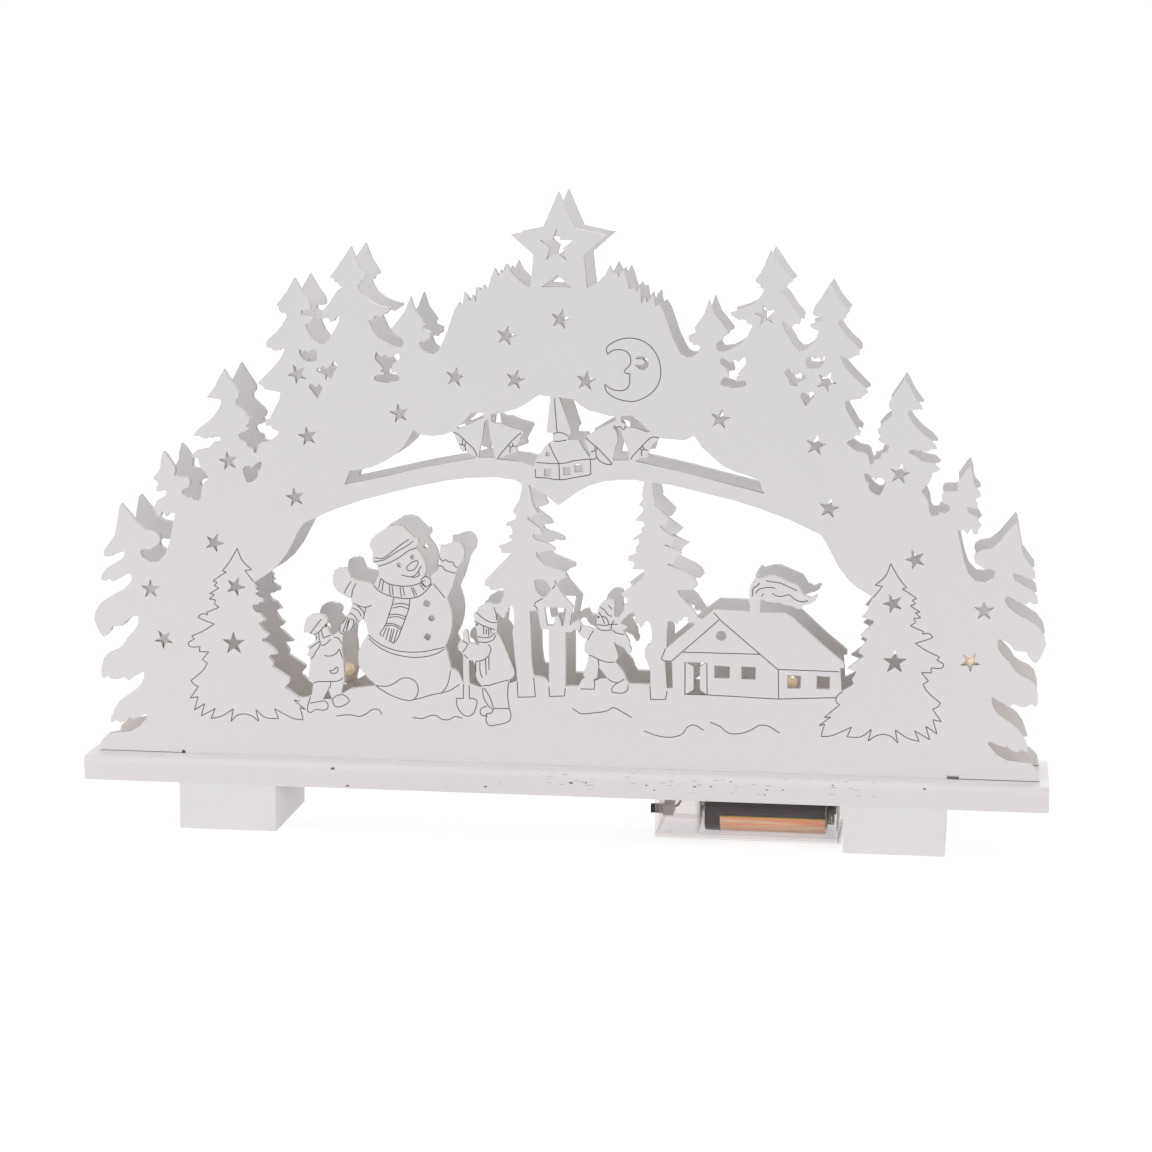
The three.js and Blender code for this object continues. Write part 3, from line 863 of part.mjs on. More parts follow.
function springGeometry(plateFace, cellEnd, y) {
  const inset = Math.sign(cellEnd - plateFace) * (SPRING_WIRE_RADIUS + TOUCH_GAP);
  const curve = new ConeSpring(plateFace + inset, cellEnd - inset, y);
  return wireAlong(curve, SPRING_WIRE_RADIUS, SPRING_TURNS * 10);
}

function switchBodyGeometry() {
  const { length, width, height } = SWITCH_BODY;
  return block(
    SWITCH_X0, SWITCH_X0 + length,
    CASE_CENTRE_Y - width / 2, CASE_CENTRE_Y + width / 2,
    SWITCH_HEIGHT - height / 2, SWITCH_HEIGHT + height / 2,
  );
}

// The knob is drawn at the off end of its slot, the end towards the viewer.
function knobGeometry() {
  const y = CASE_CENTRE_Y - KNOB_TRAVEL / 2;
  return block(
    CASE_X0 - KNOB_REACH, SWITCH_X0 - KNOB_CLEARANCE,
    y - KNOB_WIDTH / 2, y + KNOB_WIDTH / 2,
    SWITCH_HEIGHT - KNOB_HEIGHT / 2, SWITCH_HEIGHT + KNOB_HEIGHT / 2,
  );
}

// A clear resin drop round one light, glued to the back panel's inner face.
function dropGeometry({ x, z }) {
  const profile = Array.from({ length: 7 }, (_, i) => {
    const t = i / 6;
    const bulge = Math.sqrt(Math.sin(Math.PI * (0.12 + 0.88 * t)));
    return new THREE.Vector2(t === 1 ? 0 : DROP_RADIUS * bulge, t * DROP_LENGTH);
  });
  profile.unshift(new THREE.Vector2(0, 0));
  return new THREE.LatheGeometry(profile, 12)
    .rotateX(Math.PI)
    .translate(x, PANEL_Y, z);
}

// Light chain: a lead from the switch up through the board, and one strand to each side.
const WIRE_LIE = BOARD_TOP + WIRE_RADIUS + TOUCH_GAP;
const WIRE_Y = PANEL_Y - WIRE_RADIUS - TOUCH_GAP;

function leadGeometry() {
  const start = SWITCH_X0 + SWITCH_BODY.length + TOUCH_GAP;
  return wire(
    [
      [start, LEAD_Y - 3, SWITCH_HEIGHT],
      [start + 1.2, LEAD_Y - 2, SWITCH_HEIGHT + 0.8],
      [LEAD_X, LEAD_Y, SWITCH_HEIGHT + 3.5],
      [LEAD_X, LEAD_Y, BAY_TOP],
      [LEAD_X, LEAD_Y, BOARD_TOP - 1],
      [LEAD_X, LEAD_Y, BOARD_TOP + 1.5],
    ],
    WIRE_RADIUS,
    14,
  );
}

function strandGeometry(side, inner, outer) {
  const start = LEAD_X + side * (WIRE_RADIUS * 2 + TOUCH_GAP);
  const under = DROP_RADIUS + WIRE_RADIUS + TOUCH_GAP;
  return wire(
    [
      [start, LEAD_Y, WIRE_LIE],
      [start + side * 6, LEAD_Y + 2, WIRE_LIE],
      [start + side * 14, WIRE_Y, WIRE_LIE],
      [inner.x - side * 16, WIRE_Y, WIRE_LIE],
      [inner.x - side * 8, WIRE_Y, WIRE_LIE + 10],
      [inner.x - side * 4, WIRE_Y, inner.z - under - 4],
      [inner.x, WIRE_Y, inner.z - under],
      [inner.x + side * 5, WIRE_Y, inner.z - under - 4],
      [inner.x + side * 14, WIRE_Y, WIRE_LIE + 6],
      [outer.x - side * 12, WIRE_Y, WIRE_LIE + 6],
      [outer.x - side * 5, WIRE_Y, outer.z - under - 12],
      [outer.x, WIRE_Y, outer.z - under],
    ],
    WIRE_RADIUS,
    44,
  );
}

// Each piece gets its own material: colour, roughness and metalness as they look.
const FINISHES = {
  paintedWood: { color: 0xe9e6e2, roughness: 0.75, metalness: 0 },
  clearPlastic: { color: 0xeef0f2, roughness: 0.15, metalness: 0, transparent: true, opacity: 0.35 },
  blackPlastic: { color: 0x151515, roughness: 0.5, metalness: 0 },
  greyMetal: { color: 0x8b9096, roughness: 0.35, metalness: 1 },
  steel: { color: 0xc6c8ca, roughness: 0.3, metalness: 1 },
  sleeveFilm: { color: 0x2b2a2c, roughness: 0.35, metalness: 0 },
  copperWire: { color: 0xa0622f, roughness: 0.4, metalness: 1 },
  resin: { color: 0xf6e2b0, roughness: 0.1, metalness: 0, transparent: true, opacity: 0.6 },
};

const village = new THREE.Group();
village.name = "light_up_village";

function add(name, geometry, finish) {
  const mesh = new THREE.Mesh(geometry, new THREE.MeshStandardMaterial(FINISHES[finish]));
  mesh.name = name;
  village.add(mesh);
  return mesh;
}

add("front_panel", panelGeometry(-PANEL_Y - PANEL_THICKNESS, FRONT_TOLERANCE), "paintedWood");
add("back_panel", panelGeometry(PANEL_Y, BACK_TOLERANCE), "paintedWood");
add("base_board", boardGeometry(), "paintedWood");
add("left_foot", footGeometry(-FOOT_X), "paintedWood");
add("right_foot", footGeometry(FOOT_X), "paintedWood");

add("battery_case", caseGeometry(), "clearPlastic");
add("battery_lid", lidGeometry(), "clearPlastic");
add("switch_body", switchBodyGeometry(), "greyMetal");
add("switch_knob", knobGeometry(), "blackPlastic");

add("front_cell", cellGeometry(FRONT_CELL_X, FRONT_CELL_Y, -1), "steel");
add("front_cell_sleeve", sleeveGeometry(FRONT_CELL_X, FRONT_CELL_Y, -1), "sleeveFilm");
add("rear_cell", cellGeometry(REAR_CELL_X, REAR_CELL_Y, 1), "steel");
add("rear_cell_sleeve", sleeveGeometry(REAR_CELL_X, REAR_CELL_Y, 1), "sleeveFilm");

add("positive_contact", contactGeometry(LEFT_PLATE_X, FRONT_CELL_Y), "steel");
add("negative_contact", contactGeometry(LEFT_PLATE_X, REAR_CELL_Y), "steel");
add("link_contact", linkGeometry(), "steel");
add(
  "front_spring",
  springGeometry(RIGHT_PLATE_X, FRONT_CELL_X + CELL_LENGTH, FRONT_CELL_Y),
  "steel",
);
add(
  "rear_spring",
  springGeometry(LEFT_PLATE_X + CONTACT_THICKNESS, REAR_CELL_X, REAR_CELL_Y),
  "steel",
);

const [farLeft, left, right, farRight] = LAMPS;
LAMPS.forEach((lamp) => add(lamp.name, dropGeometry(lamp), "resin"));
add("lead_wire", leadGeometry(), "copperWire");
add("left_strand", strandGeometry(-1, left, farLeft), "copperWire");
add("right_strand", strandGeometry(1, right, farRight), "copperWire");

export default village;
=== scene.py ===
import math

import bpy
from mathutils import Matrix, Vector
from mathutils.bvhtree import BVHTree
from mathutils.geometry import interpolate_bezier


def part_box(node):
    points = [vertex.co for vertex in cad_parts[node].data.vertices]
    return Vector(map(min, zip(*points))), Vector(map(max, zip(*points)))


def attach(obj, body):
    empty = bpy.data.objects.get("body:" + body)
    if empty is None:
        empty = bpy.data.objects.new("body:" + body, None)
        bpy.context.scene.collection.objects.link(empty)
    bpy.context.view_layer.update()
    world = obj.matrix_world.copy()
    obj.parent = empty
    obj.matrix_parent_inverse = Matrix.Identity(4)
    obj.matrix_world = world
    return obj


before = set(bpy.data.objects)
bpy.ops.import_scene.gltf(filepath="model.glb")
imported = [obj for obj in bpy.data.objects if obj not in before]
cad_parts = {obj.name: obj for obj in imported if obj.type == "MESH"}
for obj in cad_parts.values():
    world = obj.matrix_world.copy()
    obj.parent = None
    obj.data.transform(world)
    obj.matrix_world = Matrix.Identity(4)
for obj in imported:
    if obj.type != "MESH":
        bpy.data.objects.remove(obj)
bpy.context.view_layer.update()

# The studio is a wide white floor under an even white sky, with four large soft lamps
# round the arch: low ones on the right and the left, and high ones overhead and behind.
# The floor shows white to the camera, and still takes a faint shadow.
CAMERA_PLACE = (0.1673, -1.1242, 0.3016)
CAMERA_PITCH = 9.863
CAMERA_YAW = 8.225
CAMERA_LENS = 89.34
CAMERA_SENSOR = 36.0
CAMERA_REACH = 50.0
FLOOR_HALF = 6.0
FLOOR_GAP = 0.0002
FLOOR_COLOUR = "#f4f3f3"
FLOOR_GLOW = 0.7
FLOOR_GLOW_REACH = (0.8, 1.8)
FLOOR_WHITE = 1.2
SKY_STRENGTH = 0.53
SKY_WHITE = 1.04
LAMP_SIZE = 1.2
LAMP_AIM = (0.0, 0.0, 0.12)
SOFT_LAMPS = (("right_lamp", (2.8, -1.75, 0.62), 26.0), ("left_lamp", (-1.5, -0.9, 0.62), 7.5),
              ("top_lamp", (0.0, -0.5, 2.6), 8.0), ("back_lamp", (0.0, 2.3, 1.6), 25.0))


def linear(code):
    """The linear RGBA of an sRGB hex colour."""
    parts = [int(code[i:i + 2], 16) / 255 for i in (1, 3, 5)]
    return [c / 12.92 if c <= 0.04045 else ((c + 0.055) / 1.055) ** 2.4 for c in parts] + [1.0]


def add(tree, kind, inputs=None, **settings):
    """One shader node; each input is a value, or the socket that feeds it."""
    made = tree.nodes.new("ShaderNode" + kind)
    for name, value in settings.items():
        setattr(made, name, value)
    for name, value in (inputs or {}).items():
        if isinstance(value, bpy.types.NodeSocket):
            tree.links.new(value, made.inputs[name])
        else:
            made.inputs[name].default_value = value
    return made


def show(name, data):
    """A new object in the scene that holds this data."""
    made = bpy.data.objects.new(name, data)
    bpy.context.scene.collection.objects.link(made)
    return made


def looked_at(tree):
    """1 for a ray that comes from the camera, straight, off a gloss or through clear plastic."""
    rays = add(tree, "LightPath")
    bare = add(tree, "Math", {0: rays.outputs["Is Camera Ray"], 1: rays.outputs["Is Glossy Ray"]},
               operation="MAXIMUM")
    return add(tree, "Math", {0: bare.outputs[0], 1: rays.outputs["Is Transmission Ray"]},
               operation="MAXIMUM").outputs[0]


camera = show("studio_camera", bpy.data.cameras.new("studio_camera"))
camera.data.sensor_width = CAMERA_SENSOR
camera.data.lens = CAMERA_LENS
camera.data.clip_end = CAMERA_REACH
camera.location = CAMERA_PLACE
camera.rotation_euler = (math.radians(90 - CAMERA_PITCH), 0, math.radians(CAMERA_YAW))
bpy.context.scene.camera = camera
bpy.context.scene.view_settings.view_transform = "Standard"

floor_mesh = bpy.data.meshes.new("studio_floor")
corners = [(x * FLOOR_HALF, y * FLOOR_HALF, -FLOOR_GAP)
           for x, y in ((-1, -1), (1, -1), (1, 1), (-1, 1))]
floor_mesh.from_pydata(corners, [], [(0, 1, 2, 3)])
floor = show("studio_floor", floor_mesh)
floor_paint = bpy.data.materials.new("matt_white_paper")
floor_paint.use_nodes = True
tree = floor_paint.node_tree
tree.nodes.clear()
reach = add(tree, "VectorMath", {0: add(tree, "TexCoord").outputs["Object"]}, operation="LENGTH")
share = add(tree, "MapRange", {0: reach.outputs["Value"], 1: FLOOR_GLOW_REACH[0],
                               2: FLOOR_GLOW_REACH[1], 3: FLOOR_GLOW, 4: 1.0})
glow = add(tree, "Math", {0: looked_at(tree), 1: share.outputs[0]}, operation="MULTIPLY")
paper = add(tree, "BsdfDiffuse", {"Color": linear(FLOOR_COLOUR)})
white = add(tree, "Emission", {"Color": (1, 1, 1, 1), "Strength": FLOOR_WHITE})
mixed = add(tree, "MixShader", {0: glow.outputs[0], 1: paper.outputs[0], 2: white.outputs[0]})
add(tree, "OutputMaterial", {"Surface": mixed.outputs[0]})
floor_mesh.materials.append(floor_paint)

sky = bpy.data.worlds.new("white_sky")
sky.use_nodes = True
bpy.context.scene.world = sky
tree = sky.node_tree
tree.nodes.clear()
strength = add(tree, "MapRange", {0: looked_at(tree), 3: SKY_STRENGTH, 4: SKY_WHITE})
light = add(tree, "Background", {"Color": (1, 1, 1, 1), "Strength": strength.outputs[0]})
add(tree, "OutputWorld", {"Surface": light.outputs[0]})

for name, place, watts in SOFT_LAMPS:
    lamp = show(name, bpy.data.lights.new(name, "AREA"))
    lamp.data.size = LAMP_SIZE
    lamp.data.energy = watts
    lamp.location = place
    lamp.rotation_euler = (Vector(LAMP_AIM) - lamp.location).to_track_quat("-Z", "Y").to_euler()

# The base board is a planed strip of pine with rounded long edges, sprayed with one
# thin coat of matt white. The open pores of the late wood show through the paint of
# its middle stretch as short dashes, and a few small knots as dark specks.
BOARD_COLOURS = ("#e9e3e4", "#efeaeb")
PORE_COLOUR = "#cdc5c0"
KNOT_COLOUR = "#4b403a"
KNOT_SQUASH = (0.55, 0.15, 1.0)
KNOT_RIM = (0.7, 0.2)
BOARD_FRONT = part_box("base_board")[0].y
# Each knot is its place along and up the board's front, and its radius, in mm.
BOARD_KNOTS = ((-91, 27, 1.0), (-84.9, 20.1, 0.8), (6.4, 24.6, 0.9), (12.4, 24.8, 0.5),
               (-28.3, 21.8, 0.7), (36.7, 24.7, 0.5), (39.9, 22.8, 0.5), (55.9, 24.8, 0.6),
               (62.5, 25, 0.5), (70.3, 27.2, 0.45), (84.7, 24.5, 0.5), (91, 24.7, 0.5),
               (83.8, 22.5, 0.45), (110.7, 27.2, 0.5), (146.6, 27.1, 0.7))
PAINT_CLOUD = 45.5
PORE_LENGTH = 7
PORE_ROW = 1.2
PORE_EDGE = (0.22, 0.14)
PORE_STRETCH = ((-90, -75), (150, 120))  # mm along the board, where they fade in and out
PORE_STREAK = (21.6, 22.6)  # mm up, where they fade in
WORN_PATCH = 71.4
WORN_EDGE = (0.42, 0.5)
# The spray's grain is finer on the real wood, and is drawn coarser so that it shows.
SPRAY_GRAIN = 0.667
SPRAY_RELIEF = 0.06
MM = 0.001


def per_metre(size):
    """The scale of a pattern whose grain or repeat is this many mm."""
    return 1 / (size * MM)


def material(name, colour, roughness, **sockets):
    """A material of one shader, whose even values sit on the shader's own sockets."""
    made = bpy.data.materials.new(name)
    made.use_nodes = True
    shader = made.node_tree.nodes["Principled BSDF"]
    shader.inputs["Base Color"].default_value = linear(colour)
    shader.inputs["Roughness"].default_value = roughness
    for socket, value in sockets.items():
        shader.inputs[socket.replace("_", " ")].default_value = value
    return made, made.node_tree, shader


def blend(tree, factor, first, second):
    """The colour between two others, as hex codes or sockets."""
    first, second = (linear(c) if isinstance(c, str) else c for c in (first, second))
    return add(tree, "Mix", {0: factor, 6: first, 7: second}, data_type="RGBA").outputs[2]


def dress(finish, *names):
    """Gives CAD nodes their finish."""
    for name in names:
        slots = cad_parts[name].data.materials
        slots.clear()
        slots.append(finish)


def wood_paint(name, colours, roughness):
    """Matt white over wood: cloudy cover, dashes along the grain, and a fine spray texture."""
    made, tree, shader = material(name, colours[0], roughness, IOR=1.5)
    place = add(tree, "TexCoord").outputs["Object"]
    cloud = add(tree, "TexNoise", {"Vector": place, "Scale": per_metre(PAINT_CLOUD),
                                   "Detail": 3.0})
    base = blend(tree, cloud.outputs[0], *colours)
    cells = [per_metre(size) for size in (PORE_LENGTH, PORE_ROW, PORE_ROW)]
    along = add(tree, "Mapping", {"Vector": place, "Scale": cells})
    grain = add(tree, "TexVoronoi", {"Vector": along.outputs[0], "Scale": 1.0})
    pore = add(tree, "MapRange", {0: grain.outputs["Distance"], 1: PORE_EDGE[0],
                                  2: PORE_EDGE[1]})
    patch = add(tree, "TexNoise", {"Vector": place, "Scale": per_metre(WORN_PATCH),
                                   "Detail": 1.0})
    worn = add(tree, "MapRange", {0: patch.outputs[0], 1: WORN_EDGE[0], 2: WORN_EDGE[1]})
    shown = add(tree, "Math", {0: pore.outputs[0], 1: worn.outputs[0]}, operation="MULTIPLY")
    spray = add(tree, "TexNoise", {"Vector": place, "Scale": per_metre(SPRAY_GRAIN),
                                   "Detail": 2.0})
    height = add(tree, "Math", {0: spray.outputs[0], 1: shown.outputs[0]}, operation="SUBTRACT")
    bump = add(tree, "Bump", {"Height": height.outputs[0], "Strength": 0.25,
                              "Distance": SPRAY_RELIEF * MM})
    tree.links.new(bump.outputs[0], shader.inputs["Normal"])
    return made, tree, shader, place, base, shown.outputs[0]


board_paint, tree, shader, place, base, pores = wood_paint(
    "matt_white_sprayed_on_pine", BOARD_COLOURS, 0.6)
split = add(tree, "SeparateXYZ", {0: place})
for axis, (start, end) in (("X", PORE_STRETCH[0]), ("X", PORE_STRETCH[1]), ("Z", PORE_STREAK)):
    share = add(tree, "MapRange", {0: split.outputs[axis], 1: start * MM, 2: end * MM})
    pores = add(tree, "Math", {0: pores, 1: share.outputs[0]}, operation="MULTIPLY").outputs[0]
base = blend(tree, pores, base, PORE_COLOUR)
for x, z, radius in BOARD_KNOTS:
    from_knot = add(tree, "VectorMath", {0: place, 1: (x * MM, BOARD_FRONT, z * MM)},
                    operation="SUBTRACT")
    oval = add(tree, "VectorMath", {0: from_knot.outputs[0], 1: KNOT_SQUASH},
               operation="MULTIPLY")
    reach = add(tree, "VectorMath", {0: oval.outputs[0]}, operation="LENGTH")
    dark = add(tree, "MapRange", {0: reach.outputs["Value"], 1: radius * KNOT_RIM[0] * MM,
                                  2: radius * KNOT_RIM[1] * MM})
    base = blend(tree, dark.outputs[0], base, KNOT_COLOUR)
tree.links.new(base, shader.inputs["Base Color"])
dress(board_paint, "base_board")

# Two short pine blocks glued under the board carry it and make room for the
# battery box. They have the same paint, a little rougher and with hardly a pore.
FOOT_COLOURS = ("#edeaea", "#f1eeee")
FOOT_PORES = 0.12
foot_paint, tree, shader, place, base, pores = wood_paint(
    "matt_white_sprayed_on_pine_blocks", FOOT_COLOURS, 0.66)
pores = add(tree, "Math", {0: pores, 1: FOOT_PORES}, operation="MULTIPLY").outputs[0]
tree.links.new(blend(tree, pores, base, PORE_COLOUR), shader.inputs["Base Color"])
dress(foot_paint, "left_foot", "right_foot")

# The two scenery panels are 3 mm plywood, laser cut and sprayed matt white. The white
# is painted lighter towards the foot outside and half-way up inside, as painted light,
# and warmer low down inside, as painted warm shade between the panels. The beam leaves
# fine ridges on the cut edge, and scorch that dulls its overspray.
PANEL_COLOURS = ("#dedbdc", "#e4e1e2")
PANEL_CLOUD = 55.6
CUT_EDGE_COLOURS = ("#c7c4c3", "#d3d1d0")
# The beam's ridges are finer on the real edge, and are drawn coarser so that they show.
CUT_EDGE_RIDGE = 0.3125
CUT_EDGE_LENGTH = 16.7
CUT_EDGE_FACING = 0.5
SCORCHED_EDGE_COLOUR = "#c1b7b1"
SCORCH_PATCH = 38.5
SCORCH_EDGE = (0.48, 0.68)
# Painted light: the outside faces are painted lighter towards the foot.
FOOT_PAINTED_LIGHT_COLOUR = "#ebe7e8"
FOOT_PAINTED_LIGHT_HEIGHTS = (210, 20)
# Painted light: the inside faces are painted lighter half-way up, away from the ends.
INNER_PAINTED_LIGHT_COLOUR = "#f1efef"
INNER_PAINTED_LIGHT_BELOW = (235, 190)
INNER_PAINTED_LIGHT_ABOVE = (55, 85)
INNER_PAINTED_LIGHT_REACH = (115, 75)
# Painted warm shade: the inside faces are painted warmer low down.
INNER_WARM_SHADE_COLOUR = "#ebe6e2"
INNER_WARM_SHADE_HEIGHTS = (92, 52)
OUTSIDE_FROM_Y = 12.5
panel_paint, tree, shader = material("matt_white_sprayed_on_plywood", PANEL_COLOURS[0], 0.62,
                                     IOR=1.5)
coords = add(tree, "TexCoord")
place = coords.outputs["Object"]
facing = add(tree, "SeparateXYZ", {0: coords.outputs["Normal"]})
facing = add(tree, "Math", {0: facing.outputs["Y"]}, operation="ABSOLUTE")
edge = add(tree, "Math", {0: facing.outputs[0], 1: CUT_EDGE_FACING},
           operation="LESS_THAN").outputs[0]
cloud = add(tree, "TexNoise", {"Vector": place, "Scale": per_metre(PANEL_CLOUD), "Detail": 3.0})
face_colour = blend(tree, cloud.outputs[0], *PANEL_COLOURS)
split = add(tree, "SeparateXYZ", {0: place})
# Painted light: lighter towards the foot on the outside faces.
low = add(tree, "MapRange", {0: split.outputs["Z"], 1: FOOT_PAINTED_LIGHT_HEIGHTS[0] * MM,
                             2: FOOT_PAINTED_LIGHT_HEIGHTS[1] * MM})
outer_colour = blend(tree, low.outputs[0], face_colour, FOOT_PAINTED_LIGHT_COLOUR)
depth = add(tree, "Math", {0: split.outputs["Y"]}, operation="ABSOLUTE")
outer = add(tree, "Math", {0: depth.outputs[0], 1: OUTSIDE_FROM_Y * MM},
            operation="GREATER_THAN")
side = add(tree, "Math", {0: split.outputs["X"]}, operation="ABSOLUTE")
# Painted light: lighter inside, half-way up and away from the ends.
inner_lit = add(tree, "MapRange", {0: side.outputs[0], 1: INNER_PAINTED_LIGHT_REACH[0] * MM,
                              2: INNER_PAINTED_LIGHT_REACH[1] * MM})
for start, end in (INNER_PAINTED_LIGHT_BELOW, INNER_PAINTED_LIGHT_ABOVE):
    share = add(tree, "MapRange", {0: split.outputs["Z"], 1: start * MM, 2: end * MM})
    inner_lit = add(tree, "Math", {0: inner_lit.outputs[0], 1: share.outputs[0]}, operation="MULTIPLY")
inner_colour = blend(tree, inner_lit.outputs[0], face_colour, INNER_PAINTED_LIGHT_COLOUR)
# Painted warm shade: warmer low down on the inside faces.
warm_shade = add(tree, "MapRange", {0: split.outputs["Z"], 1: INNER_WARM_SHADE_HEIGHTS[0] * MM,
                              2: INNER_WARM_SHADE_HEIGHTS[1] * MM})
inner_colour = blend(tree, warm_shade.outputs[0], inner_colour, INNER_WARM_SHADE_COLOUR)
face_colour = blend(tree, outer.outputs[0], inner_colour, outer_colour)
ridges = [per_metre(size) for size in (CUT_EDGE_RIDGE, CUT_EDGE_LENGTH, CUT_EDGE_RIDGE)]
ridges = add(tree, "Mapping", {"Vector": place, "Scale": ridges})
ridges = add(tree, "TexNoise", {"Vector": ridges.outputs[0], "Scale": 1.0, "Detail": 1.0})
edge_colour = blend(tree, ridges.outputs[0], *CUT_EDGE_COLOURS)
scorched = add(tree, "TexNoise", {"Vector": place, "Scale": per_metre(SCORCH_PATCH),
                                  "Detail": 2.0})
scorched = add(tree, "MapRange", {0: scorched.outputs[0], 1: SCORCH_EDGE[0], 2: SCORCH_EDGE[1]})
edge_colour = blend(tree, scorched.outputs[0], edge_colour, SCORCHED_EDGE_COLOUR)
tree.links.new(blend(tree, edge, face_colour, edge_colour), shader.inputs["Base Color"])
spray = add(tree, "TexNoise", {"Vector": place, "Scale": per_metre(SPRAY_GRAIN), "Detail": 2.0})
height = add(tree, "Mix", {0: edge, 2: spray.outputs[0], 3: ridges.outputs[0]})
bump = add(tree, "Bump", {"Height": height.outputs[0], "Strength": 0.3,
                          "Distance": SPRAY_RELIEF * MM})
tree.links.new(bump.outputs[0], shader.inputs["Normal"])
dress(panel_paint, "front_panel", "back_panel")

# The drawing on the front panel is burnt in with the same laser at low power, in
# strokes about 0.4 mm wide. Each row below is one stroke, as x,z points in mm on
# the panel's face, and a stroke is only drawn where there is wood under it.
STROKE_WIDTH = 0.42
STROKE_HEIGHT = 0.05
STROKE_STEP = 0.5
SAME_POINT = 0.01
CORNER_TURN = math.radians(72)
FACE_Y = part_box("front_panel")[0].y
FIR = """
124.9,101.1 128.4,105.7 125.6,106 129.5,109.9 131.4,114.7 135.1,108.5 137.8,105.3 136.1,104.8 \
138.7,103.2 141.8,101.1 140.1,100.4 141.3,99.1 139.4,98.1 143.2,95.8 141.3,95.4 143.5,93.5 \
140.8,93.2 141.5,91.6 139.5,90.2 144.7,88 144.3,87 146.8,87.3 148.4,85.9 146.4,84.9 141.6,83.3 \
145.7,80.6 151.2,78 150.1,76.8 152.8,75.3 152.4,73.9 147.8,73.6 148.2,71.6 144.2,71.6 147,68.3 \
144.9,66.9 146.4,64.4 151.9,59.5 151,58.1 148.9,57 152.4,52.1 149.1,52.8 150.8,47.1 146.4,50 \
148,44.7 142,48.1 143.9,43.8 139.4,45 134.4,48.2 135.5,42.9 133,45.4 129.8,46.2 126.7,45.4 \
123.9,43.3 125,48.1 121,45 115.5,44.7 117.2,48.8 113.3,46.8 109,44.9 105.3,44.5 105.7,46.8 \
106.6,49.6 104.3,48.9 108.9,52.6 106.4,52.3 112.4,57.7 111.2,58.4 111,60.5 113.3,63
"""
